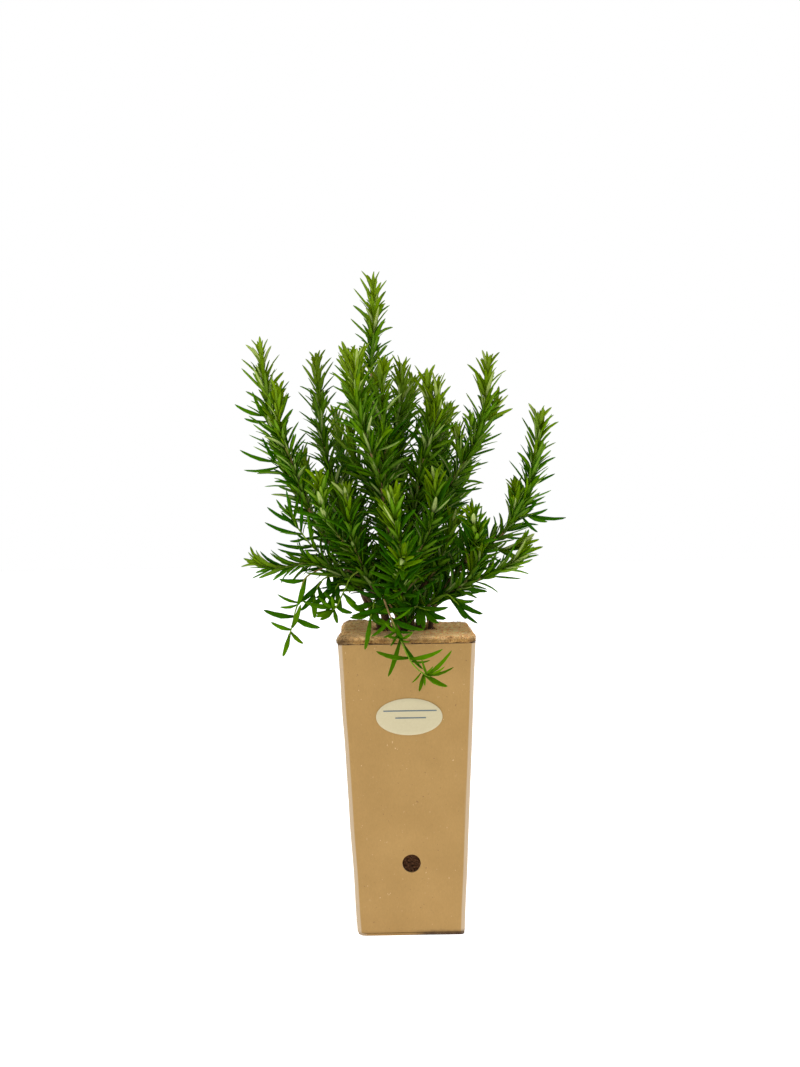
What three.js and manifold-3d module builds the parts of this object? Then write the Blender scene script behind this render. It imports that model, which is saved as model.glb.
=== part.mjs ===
// A young bush of rosemary in a tall square pot of folded board, in millimetres with +Z up.
// The origin is on the surface that the pot stands on, under the middle of its base.
// The front of the pot, with its label and drain hole, faces -Y.
import * as THREE from "three";
import { mergeVertices } from "three/addons/utils/BufferGeometryUtils.js";
import Module from "manifold-3d";

const wasm = await Module();
wasm.setup();

// Pot of corrugated board
const POT_TOP = 104; // outer width at the rim
const POT_BASE = 82; // outer width at the foot
const POT_HEIGHT = 224;
const POT_CORNER = 3.4; // outer radius of the upright edges
const BOARD = 2; // thickness of the board
const DRAIN_DIAMETER = 14;
const DRAIN_HEIGHT = 56;
const DRAIN_X = 1;

// Oval paper label on the front of the pot
const LABEL_WIDTH = 50;
const LABEL_HEIGHT = 28;
const LABEL_THICKNESS = 0.4;
const LABEL_X = 1;
const LABEL_Z = 169;

// Coir mat over the soil and the rim
const MAT_WIDTH = 106.4;
const MAT_THICKNESS = 6.2;
const MAT_CORNER = 7;
const MAT_EDGE = [[1.2, 0], [0, 0.22], [0.3, 0.58], [2.2, 0.87], [5.5, 1]]; // inset, share of thickness
const OPENING = { x: -1, y: 1, halfX: 25, halfY: 18 }; // oval hole in the middle of the mat
const OPENING_SIDES = 20;
const SLIT_WIDTH = 1.6; // from the opening to the back right corner, so that the mat goes round the stems
const LIP_WIDTH = 11; // lifted edge of the mat's slit
const LIP_THICKNESS = 3.4;
const LIP_ROUTE = [[22, 16, 226], [21.5, 15.5, 233], [20, 14, 240], [18, 12, 245]];

// Stems
const FOOT_DEPTH = 24; // how far each stem goes down into the soil
const APEX_BELOW_TIP = 12; // the youngest leaves reach this far past the end of the wood
const APEX_RADIUS = 0.8;
const STEM_SIDES = 4;
const RING_STEP = 20; // distance between the rings of a stem's tube
const CURVE_STEPS = 24; // steps of each stretch of a route, for measuring along it

// Leaves
const LEAF_LENGTH = 25;
const LEAF_HALF_WIDTH = 1.8;
const LEAF_BEND = [2, 15]; // degrees between a leaf's inner and outer part and its mean direction
const LEAF_ANGLES = [26, 48, 66]; // degrees from the stem at the apex, 50 mm below it, and 130 mm below it
const TIP_LENGTH = 0.7; // length of the youngest leaves, as a share
const OLD_LENGTH = 1.08; // and of the oldest ones
const SPREAD_ANGLE = 18; // range of the chance in a leaf's angle
const SPREAD_TURN = 30; // and in its turn round the stem
const SPREAD_LENGTH = [0.86, 1.1];
const TIP_SPACING = 0.75; // how close the youngest pairs are, as a share of the spacing
const LEAF_BACK = 0.4; // how far past the middle of the wood a leaf is rooted, as a share of its radius
const LEAF_THICKNESS = 1.3;
const SHADE_HEIGHTS = [250, 305]; // fully in the shade, and out of it
const SHADE_LENGTH = 1.12;
const SHADE_WIDTH = 1.25;
const BELLY = 0.42; // how far along a leaf it is widest
const LEAF_RISE = 0.2; // how far the tip of a level leaf bends up, as a share of its length
const PAIR_SPACING = 5.6; // between one pair of leaves and the next
const KEPT_PAIR = 3; // the solid has every third pair of the real leaves
const LISTED_SAG = 0.07; // how far a listed leaf sags, as a share of its length
const LEAF_SEED = 20417;
const TURN_SEED = 311;

const CORNER_STEPS = 3; // facets of each rounded corner
const GAP = 0.3; // clearance between pieces that touch

const COLOURS = {
  board: { color: 0xbb955e, roughness: 0.85, metalness: 0 },
  label: { color: 0xd8cda9, roughness: 0.6, metalness: 0 },
  coir: { color: 0xa28456, roughness: 1, metalness: 0 },
  soil: { color: 0x3a2a1c, roughness: 1, metalness: 0 },
  rosemary: { color: 0x3c7a12, roughness: 0.5, metalness: 0 },
};

// Each stem stands at its foot in the soil. Its first shoot is the stem itself, from the soil up.
// Each other shoot leaves shoot "on" at the fraction "at" of that shoot's length.
// "bare" is the length without leaves, from where the shoot starts.
// A hanging shoot lists its leaves, as [fraction of its length, tip, half width].
const STEMS = [
  {
    name: "leafy_stem_centre", foot: [-4, 4], radius: 2.6,
    shoots: [
      { bare: 12, points: [[-5, 3, 253], [-10, 4, 293], [-16, 8, 350], [-22, 10, 399], [-25, 12, 440],
        [-23, 14, 464], [-22, 15, 489], [-23, 15, 517]] },
      { on: 0, at: 0.4, bare: 12, points: [[-8, 12, 374], [-2, 14, 407], [0, 13, 427], [-1, 11, 448]] },
      { on: 0, at: 0.33, bare: 14, points: [[-6, 24, 367], [2, 36, 401], [8, 42, 424], [10, 45, 442]] },
      { on: 0, at: 0.34, bare: 12, points: [[-28, 4, 347], [-38, 1, 364], [-42, -1, 382],
        [-43, -2, 399]] },
    ],
  },
  {
    name: "leafy_stem_left_tall", foot: [-13, 2.5], radius: 2.3,
    shoots: [
      { bare: 32, points: [[-17, 1, 244], [-30, -3, 266], [-44, -4, 284], [-61, 0, 302], [-81, 2, 335],
        [-94, 0, 362], [-103, -4, 391], [-107, -6, 414], [-110, -8, 436], [-112, -8, 460]] },
      { on: 0, at: 0.48, bare: 8, points: [[-88, -14, 364], [-95, -24, 385], [-97, -28, 404],
        [-96, -30, 425]] },
      { on: 0, at: 0.2, points: [[-60, -8, 286], [-72, -9, 296], [-80, -11, 306], [-86, -12, 315],
        [-90, -13, 324], [-97, -14, 334]],
        leaves: [[0.3, [-64, -16, 306], 1.58], [0.42, [-100, -16, 296], 1.66],
          [0.5, [-76, -20, 324], 1.58], [0.52, [-101, -16, 301], 1.66], [0.62, [-92, -2, 302], 1.51],
          [0.66, [-110, -14, 317], 1.73], [0.68, [-80, -18, 336], 1.58], [0.78, [-108, -14, 329], 1.66],
          [0.8, [-84, -6, 340], 1.51], [0.82, [-101, -12, 335], 1.44], [0.83, [-92, -20, 342], 1.44]] },
      { on: 0, at: 0.6, points: [[-97, -3, 361], [-104, -5, 367], [-113, -6, 375]],
        leaves: [[0.3, [-127, -6, 359], 1.7], [0.42, [-111, -12, 384], 1.6],
          [0.5, [-130, -6, 375], 1.8]] },
      { on: 0, at: 0.735, points: [[-106, -6, 395], [-111, -8, 403], [-118, -9, 413]],
        leaves: [[0.3, [-126, -6, 400], 1.6], [0.42, [-118, -14, 420], 1.6],
          [0.5, [-133, -8, 411], 1.8]] },
    ],
  },
  {
    name: "leafy_stem_left_inner", foot: [-19, 5], radius: 2,
    shoots: [
      { bare: 34, points: [[-21, 4.5, 234], [-27, 3.5, 244], [-34, 3, 256], [-37, 5, 270],
        [-42, 9, 290], [-50, 14, 320], [-59, 18, 354], [-66, 22, 384], [-69, 26, 410], [-70, 28, 435],
        [-71, 30, 457]] },
    ],
  },
  {
    name: "leafy_stem_front_left", foot: [-7, -3], radius: 2.3,
    shoots: [
      { bare: 20, points: [[-7, -9, 256], [-11, -22, 294], [-16, -35, 333], [-21, -42, 358],
        [-28, -46, 378], [-34, -48, 400], [-35, -48, 423], [-34, -48, 445]] },
      { on: 0, at: 0.68, bare: 6, points: [[-37, -41, 413], [-40, -34, 433], [-42, -29, 452]] },
      { on: 0, at: 0.5, bare: 8, points: [[-14, -27, 367], [-16, -24, 398], [-16, -22, 422],
        [-15, -20, 444]] },
      { on: 0, at: 0.72, bare: 8, points: [[-30, -40, 402], [-32, -34, 428], [-31, -28, 451]] },
    ],
  },
  {
    name: "leafy_stem_front", foot: [3, -9], radius: 1.9,
    shoots: [
      { bare: 6, points: [[0, -18, 246], [-4, -34, 263], [-5, -60, 278], [-3, -84, 287],
        [-1, -104, 292]] },
      { on: 0, at: 0.55, bare: 6, points: [[-3, -68, 294], [-6, -78, 310], [-8, -84, 328],
        [-7, -86, 341]] },
      { on: 0, at: 0.3, bare: 12, points: [[8, -42, 287], [18, -50, 309], [22, -62, 328],
        [22, -66, 342], [21, -66, 355]] },
      { on: 0, at: 0.14, points: [[6, -26, 250], [13, -34, 248.5], [19, -40, 248], [26, -46, 248]],
        leaves: [[0.24, [-10, -34, 260], 2.5], [0.3, [10, -42, 264], 2.5], [0.4, [-6, -44, 245], 2.3],
          [0.48, [32, -38, 250], 2.6], [0.5, [9, -50, 238], 2.4], [0.56, [30, -44, 242], 2.5],
          [0.58, [13, -47, 235], 2.3], [0.6, [24, -56, 240], 2.2]] },
    ],
  },
  {
    name: "leafy_stem_centre_right", foot: [5, -1], radius: 2.2,
    shoots: [
      { bare: 8, points: [[5, -2, 252], [4, -5, 282], [6, -8, 309], [12, -13, 349], [18, -16, 373],
        [21, -18, 399], [20, -18, 417], [17, -18, 433]] },
      { on: 0, at: 0.66, bare: 6, points: [[26, -24, 394], [27, -26, 412], [26, -26, 428]] },
      { on: 0, at: 0.4, bare: 10, points: [[16, 0, 342], [26, 8, 368], [32, 14, 392], [36, 18, 410]] },
    ],
  },
  {
    name: "leafy_stem_right_tall", foot: [12, 1], radius: 2.3,
    shoots: [
      { bare: 20, points: [[12, -2, 252], [14, -8, 282], [20, -12, 307], [32, -16, 336], [44, -15, 356],
        [57, -12, 378], [64, -8, 402], [67, -6, 423], [69, -4, 448]] },
      { on: 0, at: 0.56, bare: 6, points: [[45, -19, 360], [43, -20, 378], [42, -20, 395]] },
      { on: 0, at: 0.76, bare: 5, points: [[67, -4, 396], [73, -1, 406], [77, 0, 418]] },
      { on: 0, at: 0.16, bare: 12, points: [[24, -18, 278], [33, -27, 301], [40, -31, 323]] },
    ],
  },
  {
    name: "leafy_stem_far_right", foot: [19, 5], radius: 2.2,
    shoots: [
      { bare: 20, points: [[24, -2, 252], [40, -8, 274], [63, -12, 294], [82, -14, 310], [95, -16, 333],
        [101, -18, 356], [106, -18, 382], [108, -18, 404]] },
      { on: 0, at: 0.32, bare: 8, points: [[50, -24, 290], [54, -44, 301], [51, -60, 314],
        [48, -66, 327]] },
      { on: 0, at: 0.42, bare: 8, points: [[75, -20, 293], [86, -25, 296], [98, -28, 302]] },
      { on: 0, at: 0.57, points: [[93, -16, 319], [99, -17, 320], [111, -17, 320]],
        leaves: [[0.25, [104, -20, 306], 1.6], [0.3, [104, -22, 332], 1.6], [0.4, [112, -18, 314], 1.5],
          [0.44, [113, -14, 324], 1.4], [0.5, [127, -16, 317], 1.7]] },
      { on: 0, at: 0.54, bare: 1, points: [[86, -17, 322], [86.5, -20, 334], [85, -22, 348]] },
    ],
  },
  {
    name: "leafy_stem_low_right", foot: [12, -7], radius: 1.8,
    shoots: [
      { bare: 22, points: [[15, -14, 246], [27, -20, 257], [50, -28, 268], [71, -32, 277],
        [84, -34, 284], [95, -34, 297]] },
      { on: 0, at: 0.5, bare: 5, points: [[55, -37, 283], [56, -42, 301]] },
      { on: 0, at: 0.3, points: [[32, -30, 259], [40, -38, 252], [46, -44, 245]],
        leaves: [[0.42, [54, -45, 238], 2.2], [0.52, [58, -44, 245], 2.2], [0.6, [52, -40, 255], 1.6],
          [0.66, [45, -50, 242], 1.8]] },
    ],
  },
  {
    name: "leafy_stem_low_left", foot: [-21, 0], radius: 1.9,
    shoots: [
      { bare: 36, points: [[-25, -2, 246], [-38, -6, 264], [-56, -9, 278], [-75, -12, 285],
        [-91, -14, 282], [-106, -14, 282], [-123, -14, 287]] },
      { on: 0, at: 0.55, points: [[-78, -24, 273], [-82, -30, 257], [-85, -32, 249], [-88, -34, 236],
        [-90, -34, 230], [-93, -34, 219]],
        leaves: [[0.27, [-83, -36, 253], 2.2], [0.3, [-97, -32, 273], 2], [0.53, [-98, -38, 262], 1.3],
          [0.55, [-98, -24, 251], 1.3], [0.67, [-109, -36, 250], 2.3], [0.68, [-66, -38, 236], 2.3],
          [0.78, [-80, -42, 254], 2.2], [0.8, [-103, -40, 241], 1.8], [0.82, [-79, -38, 224], 1.7],
          [0.84, [-95, -36, 214], 2]] },
      { on: 0, at: 0.42, points: [[-62, -12, 273], [-69, -17, 266], [-73, -20, 256], [-75, -22, 247]],
        leaves: [[0.1, [-74, -24, 251], 2.8], [0.2, [-52, -24, 260], 2.5], [0.3, [-59, -24, 264], 2.4],
          [0.45, [-85, -26, 254], 2.5], [0.55, [-62, -22, 250], 2.2], [0.7, [-82, -24, 248], 2.2],
          [0.72, [-71, -26, 242], 2.4]] },
      { on: 0, at: 0.34, points: [[-52, -16, 268], [-56, -20, 260], [-58, -23, 252]],
        leaves: [[0.3, [-40, -24, 264], 2.4], [0.45, [-70, -26, 258], 2.4], [0.6, [-50, -30, 248], 2.3],
          [0.65, [-62, -30, 246], 2.4]] },
    ],
  },
  {
    name: "leafy_stem_over_front", foot: [-4, -11], radius: 1.4,
    shoots: [
      { points: [[-9, -16, 244], [-17, -28, 258], [-15, -42, 252], [-10, -58, 241], [-5, -70, 231],
        [-1, -78, 222], [3, -83, 215], [9, -87, 209], [17, -90, 205], [25, -92, 202]],
        leaves: [[0.3, [-38, -34, 264], 2], [0.34, [0, -44, 266], 2], [0.4, [-36, -52, 248], 2],
          [0.42, [6, -54, 252], 2], [0.5, [-26, -66, 232], 1.8], [0.5, [13, -64, 236], 2],
          [0.57, [-3, -76, 229], 1.5], [0.65, [-15, -78, 234], 1.1], [0.66, [-14, -76, 204], 1.9],
          [0.67, [11, -83, 210], 1.5], [0.78, [-22, -88, 224], 1.9], [0.785, [25, -90, 225], 1.9],
          [0.915, [10, -96, 219], 1], [0.91, [31, -98, 225], 1.6], [0.91, [32, -102, 214], 1.2],
          [0.9, [28, -92, 199], 2], [0.895, [8, -88, 195], 1.5], [0.6, [-17, -72, 232], 1],
          [0.62, [-12, -76, 226], 0.9], [0.6, [4, -74, 236], 1.1], [0.66, [2, -84, 230], 0.8],
          [0.8, [16, -94, 218], 0.9], [0.9, [18, -96, 214], 0.8], [0.88, [3, -92, 202], 0.7],
          [0.9, [12, -94, 200], 0.8], [0.93, [26, -98, 214], 1], [0.34, [-25.6, -44, 269], 1.5],
          [0.34, [-12, -46, 272], 1.8], [0.52, [3.6, -62, 252], 1], [0.5, [8, -64, 236.5], 2.1],
          [0.5, [-3, -77, 232], 1.8], [0.62, [-16, -74, 243], 1.1], [0.66, [4.6, -82, 237], 1.2]] },
    ],
  },
  {
    name: "leafy_stem_front_left_low", foot: [-14, -6], radius: 1.9,
    shoots: [
      { bare: 36, points: [[-21, -14, 252], [-36, -26, 286], [-52, -40, 308], [-60, -52, 324],
        [-62, -60, 340], [-64, -62, 355]] },
      { on: 0, at: 0.42, bare: 8, points: [[-40, -42, 302], [-42, -52, 324], [-45, -56, 345]] },
      { on: 0, at: 0.4, points: [[-42, -30, 274], [-46, -33, 266], [-50, -36, 258], [-53, -39, 252],
        [-58, -41, 248], [-66, -43, 245]],
        leaves: [[0.5, [-38, -38, 254], 1.8], [0.66, [-62, -46, 264], 1.8], [0.72, [-41, -38, 247], 2],
          [0.72, [-79, -40, 257], 2.2], [0.76, [-66, -45, 260], 1.4], [0.76, [-56, -46, 260], 1.5],
          [0.78, [-65, -47, 243], 2], [0.78, [-69, -40, 245], 2], [0.77, [-71, -34, 247], 1.8],
          [0.77, [-52, -46, 240], 1.7]] },
      { on: 0, at: 0.12, points: [[-25, -20, 251], [-29, -29, 248], [-32, -37, 246], [-34, -46, 245]],
        leaves: [[0.36, [-14, -34, 258], 2.5], [0.5, [-10, -42, 248], 2.4], [0.6, [-41, -42, 245], 2.4],
          [0.64, [-16, -48, 238], 2.3], [0.66, [-37, -50, 244], 2.2], [0.68, [-45.5, -46, 258.5], 2.3]] },
      { on: 0, at: 0.2, points: [[-24, -28, 256], [-25, -40, 251], [-27, -50, 244], [-29, -58, 236]],
        leaves: [[0.3, [-8, -42, 256], 2.4], [0.4, [-40, -46, 252], 2.3], [0.45, [-10, -50, 248], 2.2],
          [0.6, [-20, -62, 242], 2.2], [0.66, [-42, -54, 245], 2.1], [0.7, [-12, -60, 240], 2.2],
          [0.78, [-31, -63, 222], 2]] },
    ],
  },
  {
    name: "leafy_stem_back_left", foot: [-16, 9], radius: 2.2,
    shoots: [
      { bare: 34, points: [[-21, 13, 250], [-36, 32, 294], [-48, 50, 347], [-56, 62, 387],
        [-60, 68, 417]] },
      { on: 0, at: 0.42, bare: 8, points: [[-60, 38, 324], [-80, 42, 352], [-88, 44, 380]] },
      { on: 0, at: 0.2, bare: 10, points: [[-40, 46, 278], [-58, 72, 300], [-68, 90, 327]] },
    ],
  },
  {
    name: "leafy_stem_back", foot: [-1, 13], radius: 2.2,
    shoots: [
      { bare: 20, points: [[-4, 24, 258], [-9, 46, 307], [-13, 68, 352], [-15, 84, 387], [-15, 92, 414]] },
      { on: 0, at: 0.28, bare: 10, points: [[2, 56, 286], [8, 84, 302], [11, 110, 322]] },
      { on: 0, at: 0.16, bare: 12, points: [[14, 44, 262], [24, 66, 264], [30, 86, 254]] },
    ],
  },
  {
    name: "leafy_stem_back_right", foot: [9, 10], radius: 2.2,
    shoots: [
      { bare: 22, points: [[12, 18, 252], [22, 36, 302], [33, 56, 352], [38, 70, 392], [40, 78, 417]] },
      { on: 0, at: 0.42, bare: 8, points: [[40, 46, 325], [51, 58, 348], [57, 62, 372]] },
      { on: 0, at: 0.2, bare: 10, points: [[32, 44, 276], [52, 70, 300], [64, 88, 328]] },
    ],
  },
];

// Numbers from 0 to 1, the same ones each time
function makeRandom(seed) {
  let state = seed;
  return () => {
    state = (Math.imul(state, 1664525) + 1013904223) >>> 0;
    return state / 4294967296;
  };
}

const vector = (x, y, z) => new THREE.Vector3(x, y, z);
const radians = THREE.MathUtils.degToRad;
const mix = THREE.MathUtils.lerp;
const smooth = THREE.MathUtils.smoothstep;

// A closed solid through rings of points, all with the same number of points.
// The rings turn anticlockwise as seen from the far end.
function loft(rings) {
  const count = rings[0].length;
  const top = (rings.length - 1) * count;
  const triangles = [];
  for (let i = 1; i < count - 1; i++) {
    triangles.push([0, i + 1, i]);
    triangles.push([top, top + i, top + i + 1]);
  }
  for (let low = 0; low < top; low += count) {
    for (let i = 0; i < count; i++) {
      const next = (i + 1) % count;
      triangles.push([low + i, low + next, low + count + next]);
      triangles.push([low + i, low + count + next, low + count + i]);
    }
  }
  return solidOf(rings.flat(), triangles);
}

function solidOf(points, triangles) {
  const vertProperties = new Float32Array(points.flatMap((point) => point.toArray()));
  const triVerts = new Uint32Array(triangles.flat());
  return new wasm.Manifold(new wasm.Mesh({ numProp: 3, vertProperties, triVerts }));
}

function solidOfGeometry(geometry, matrix) {
  geometry.deleteAttribute("normal");
  geometry.deleteAttribute("uv");
  const merged = mergeVertices(geometry, 1e-4).applyMatrix4(matrix);
  const vertProperties = new Float32Array(merged.attributes.position.array);
  const triVerts = new Uint32Array(merged.index.array);
  return new wasm.Manifold(new wasm.Mesh({ numProp: 3, vertProperties, triVerts }));
}

function meshOf(name, solid, colour) {
  const { vertProperties, triVerts } = solid.getMesh();
  const geometry = new THREE.BufferGeometry();
  geometry.setAttribute("position", new THREE.BufferAttribute(new Float32Array(vertProperties), 3));
  geometry.setIndex(new THREE.BufferAttribute(new Uint32Array(triVerts), 1));
  geometry.computeVertexNormals();
  const mesh = new THREE.Mesh(geometry, new THREE.MeshStandardMaterial(colour));
  mesh.name = name;
  return mesh;
}

// A level square ring with rounded corners
function squareRing(half, corner, z) {
  const ring = [];
  for (let side = 0; side < 4; side++) {
    const turn = side * Math.PI / 2;
    const middle = new THREE.Vector2(half - corner, half - corner).rotateAround(new THREE.Vector2(), turn);
    for (let i = 0; i <= CORNER_STEPS; i++) {
      const angle = turn + (i / CORNER_STEPS) * Math.PI / 2;
      ring.push(vector(middle.x + corner * Math.cos(angle), middle.y + corner * Math.sin(angle), z));
    }
  }
  return ring;
}

// Half of the pot's outer width at a height
function potHalf(z) {
  return mix(POT_BASE, POT_TOP, z / POT_HEIGHT) / 2;
}

// A tapered block with the pot's slope, inset from its outer faces
function potBlock(inset, bottom, top) {
  const corner = Math.max(POT_CORNER - inset, 0.6);
  return loft([bottom, top].map((z) => squareRing(potHalf(z) - inset, corner, z)));
}

function drainHoles() {
  const geometry = new THREE.CylinderGeometry(DRAIN_DIAMETER / 2, DRAIN_DIAMETER / 2, POT_TOP, 20);
  return solidOfGeometry(geometry, new THREE.Matrix4().makeTranslation(DRAIN_X, 0, DRAIN_HEIGHT));
}

function makePot() {
  const outside = potBlock(0, 0, POT_HEIGHT);
  const inside = potBlock(BOARD, BOARD, POT_HEIGHT + 1);
  const pot = outside.subtract(inside).subtract(drainHoles());
  return meshOf("cardboard_pot", pot, COLOURS.board);
}

// The label lies on the sloping front of the pot
function makeLabel() {
  const slope = Math.atan((POT_TOP - POT_BASE) / 2 / POT_HEIGHT);
  const outline = new THREE.Shape().absellipse(0, 0, LABEL_WIDTH / 2, LABEL_HEIGHT / 2, 0, Math.PI * 2);
  const settings = { depth: LABEL_THICKNESS, bevelEnabled: false, curveSegments: 22 };
  const geometry = new THREE.ExtrudeGeometry(outline, settings);
  const matrix = new THREE.Matrix4().makeRotationX(Math.PI / 2 + slope);
  matrix.setPosition(LABEL_X, -potHalf(LABEL_Z) - GAP, LABEL_Z);
  return meshOf("name_label", solidOfGeometry(geometry, matrix), COLOURS.label);
}

// The oval hole in the mat, with its slit out to the corner
function matOpening(bottom, top) {
  const rings = [bottom, top].map((z) => {
    const ring = [];
    for (let i = 0; i < OPENING_SIDES; i++) {
      const angle = (i / OPENING_SIDES) * Math.PI * 2;
      const x = OPENING.x + OPENING.halfX * Math.cos(angle);
      ring.push(vector(x, OPENING.y + OPENING.halfY * Math.sin(angle), z));
    }
    return ring;
  });
  const slit = new THREE.BoxGeometry(MAT_WIDTH, SLIT_WIDTH, top - bottom);
  slit.translate(MAT_WIDTH / 2, 0, (bottom + top) / 2);
  return loft(rings).add(solidOfGeometry(slit, new THREE.Matrix4().makeRotationZ(Math.PI / 4)));
}

// The lip curls up from the mat and leans over its opening
function matLip() {
  const rings = LIP_ROUTE.map(([x, y, z], i) => {
    const width = mix(1, 0.6, i / (LIP_ROUTE.length - 1)) * LIP_WIDTH / 2;
    const thick = LIP_THICKNESS / 2;
    return [vector(x - width, y - thick, z), vector(x + width, y - thick, z),
      vector(x + width, y + thick, z + 1), vector(x - width, y + thick, z + 1)];
  });
  return loft(rings);
}

function makeMat() {
  const bottom = POT_HEIGHT + GAP;
  const half = MAT_WIDTH / 2;
  const rings = MAT_EDGE.map(([inset, rise]) =>
    squareRing(half - inset, MAT_CORNER - inset / 2, bottom + rise * MAT_THICKNESS));
  const mat = loft(rings).subtract(matOpening(bottom - 1, bottom + MAT_THICKNESS + 1)).add(matLip());
  return meshOf("coir_mat", mat, COLOURS.coir);
}

function makeSoil() {
  let soil = potBlock(BOARD + GAP, BOARD + GAP, POT_HEIGHT);
  for (const { foot: [x, y], radius } of STEMS) {
    const depth = FOOT_DEPTH + GAP;
    const geometry = new THREE.CylinderGeometry(radius + 2 * GAP, radius + 2 * GAP, depth + 2, 8);
    geometry.rotateX(Math.PI / 2);
    const middle = POT_HEIGHT + 1 - depth / 2;
    soil = soil.subtract(solidOfGeometry(geometry, new THREE.Matrix4().makeTranslation(x, y, middle)));
  }
  return meshOf("growing_medium", soil, COLOURS.soil);
}

// A route through points, measured along its length
class Route {
  constructor(points) {
    const curve = new THREE.CatmullRomCurve3(points, false, "catmullrom", 0.5);
    this.samples = curve.getPoints((points.length - 1) * CURVE_STEPS);
    this.lengths = [0];
    for (let i = 1; i < this.samples.length; i++) {
      this.lengths.push(this.lengths[i - 1] + this.samples[i].distanceTo(this.samples[i - 1]));
    }
    this.length = this.lengths[this.lengths.length - 1];
  }

  pointAt(distance) {
    const limited = THREE.MathUtils.clamp(distance, 0, this.length);
    let i = 1;
    while (i < this.lengths.length - 1 && this.lengths[i] < limited) i++;
    const share = (limited - this.lengths[i - 1]) / (this.lengths[i] - this.lengths[i - 1]);
    return this.samples[i - 1].clone().lerp(this.samples[i], share);
  }

  directionAt(distance) {
    const ahead = this.pointAt(Math.min(distance + 1, this.length));
    return ahead.sub(this.pointAt(Math.max(distance - 1, 0))).normalize();
  }
}

// Two level directions across a direction, which turn little as it bends
function across(direction) {
  const side = vector(0.24, 0.97, 0).cross(direction);
  if (side.length() < 0.2) side.copy(vector(1, 0, 0)).cross(direction);
  side.normalize();
  return [side, direction.clone().cross(side)];
}

function ringAround(point, direction, radius, turn) {
  const [side, other] = across(direction);
  const ring = [];
  for (let i = 0; i < STEM_SIDES; i++) {
    const angle = radians(turn) + ((i + 0.5) / STEM_SIDES) * Math.PI * 2;
    const offset = side.clone().multiplyScalar(Math.cos(angle) * radius);
    ring.push(point.clone().add(offset).addScaledVector(other, Math.sin(angle) * radius));
  }
  return ring;
}

// Lays out a stem's shoots: their routes and how thick their wood is
function layOut(stem, owner) {
  const random = makeRandom(TURN_SEED + owner);
  const placed = [];
  for (const shoot of stem.shoots) {
    const parent = placed[shoot.on];
    const foot = parent ? null : vector(...stem.foot, POT_HEIGHT);
    const start = foot ?? woodPoint(parent, parent.route.length * shoot.at);
    const route = new Route([start, ...shoot.points.map((point) => vector(...point))]);
    const thickest = parent ? radiusAt(parent, parent.route.length * shoot.at) * 0.9 : stem.radius;
    const base = parent ? Math.min(thickest, 1.5) : thickest;
    const woodEnd = route.length - APEX_BELOW_TIP;
    const { bare, leaves } = shoot;
    placed.push({ route, foot, base, woodEnd, bare, leaves, turn: random() * 90 });
  }
  return placed;
}

function radiusAt(shoot, distance) {
  return mix(shoot.base, APEX_RADIUS, Math.min(distance / shoot.woodEnd, 1) ** 0.8);
}

// The middle of the wood, which runs straight from ring to ring
function woodPoint(shoot, distance) {
  const steps = Math.ceil(shoot.woodEnd / RING_STEP);
  const position = (distance / shoot.woodEnd) * steps;
  const before = Math.min(Math.floor(position), steps - 1);
  const ends = [before, before + 1].map((step) => shoot.route.pointAt((step / steps) * shoot.woodEnd));
  return ends[0].lerp(ends[1], position - before);
}

function woodOf(shoot) {
  const steps = Math.ceil(shoot.woodEnd / RING_STEP);
  const rings = [];
  if (shoot.foot) {
    const bottom = shoot.foot.clone().setZ(POT_HEIGHT - FOOT_DEPTH);
    rings.push(ringAround(bottom, vector(0, 0, 1), shoot.base, shoot.turn));
    rings.push(ringAround(shoot.foot, vector(0, 0, 1), shoot.base, shoot.turn));
  }
  for (let i = shoot.foot ? 1 : 0; i <= steps; i++) {
    const distance = (i / steps) * shoot.woodEnd;
    const point = shoot.route.pointAt(distance);
    const direction = shoot.route.directionAt(distance);
    rings.push(ringAround(point, direction, radiusAt(shoot, distance), shoot.turn));
  }
  return loft(rings);
}

// Leaves near the tip are short and upright, and older ones lean out more
function leafLengthAt(fromApex) {
  const young = mix(TIP_LENGTH, 1, smooth(fromApex, -2, 20));
  return LEAF_LENGTH * young * mix(1, OLD_LENGTH, smooth(fromApex, 30, 90));
}

// Leaves low in the bush, in its shade, are longer and broader
function shadeAt(height) {
  return 1 - smooth(height, ...SHADE_HEIGHTS);
}

function leafAngleAt(fromApex) {
  const [youngest, middle, oldest] = LEAF_ANGLES;
  const upper = (middle - youngest) * smooth(fromApex, 0, 50);
  return youngest + upper + (oldest - middle) * smooth(fromApex, 50, 130);
}

// The centre line of a leaf: root, belly and tip
function leafLine(root, axis, around, angle, length, bend) {
  const [side, other] = across(axis);
  const outward = side.clone().multiplyScalar(Math.cos(around)).addScaledVector(other, Math.sin(around));
  const heading = (tilt) =>
    axis.clone().multiplyScalar(Math.cos(tilt)).addScaledVector(outward, Math.sin(tilt));
  const belly = root.clone().addScaledVector(heading(angle - bend), length * BELLY);
  const tip = belly.clone().addScaledVector(heading(angle + bend), length * (1 - BELLY));
  const lift = LEAF_RISE * length * (1 - Math.abs(heading(angle).z));
  belly.z += lift * BELLY ** 2;
  tip.z += lift;
  const half = LEAF_HALF_WIDTH * mix(1, SHADE_WIDTH, shadeAt(root.z));
  return { root, belly, tip, width: outward.clone().cross(axis), half };
}

// A listed leaf, with its upper face turned forward
function leafTo(root, tip, half) {
  const along = tip.clone().sub(root);
  const belly = root.clone().addScaledVector(along, BELLY);
  belly.z -= LISTED_SAG * along.length();
  return { root, belly, tip, width: along.cross(vector(0, -1, 0.35)).normalize(), half };
}

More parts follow.
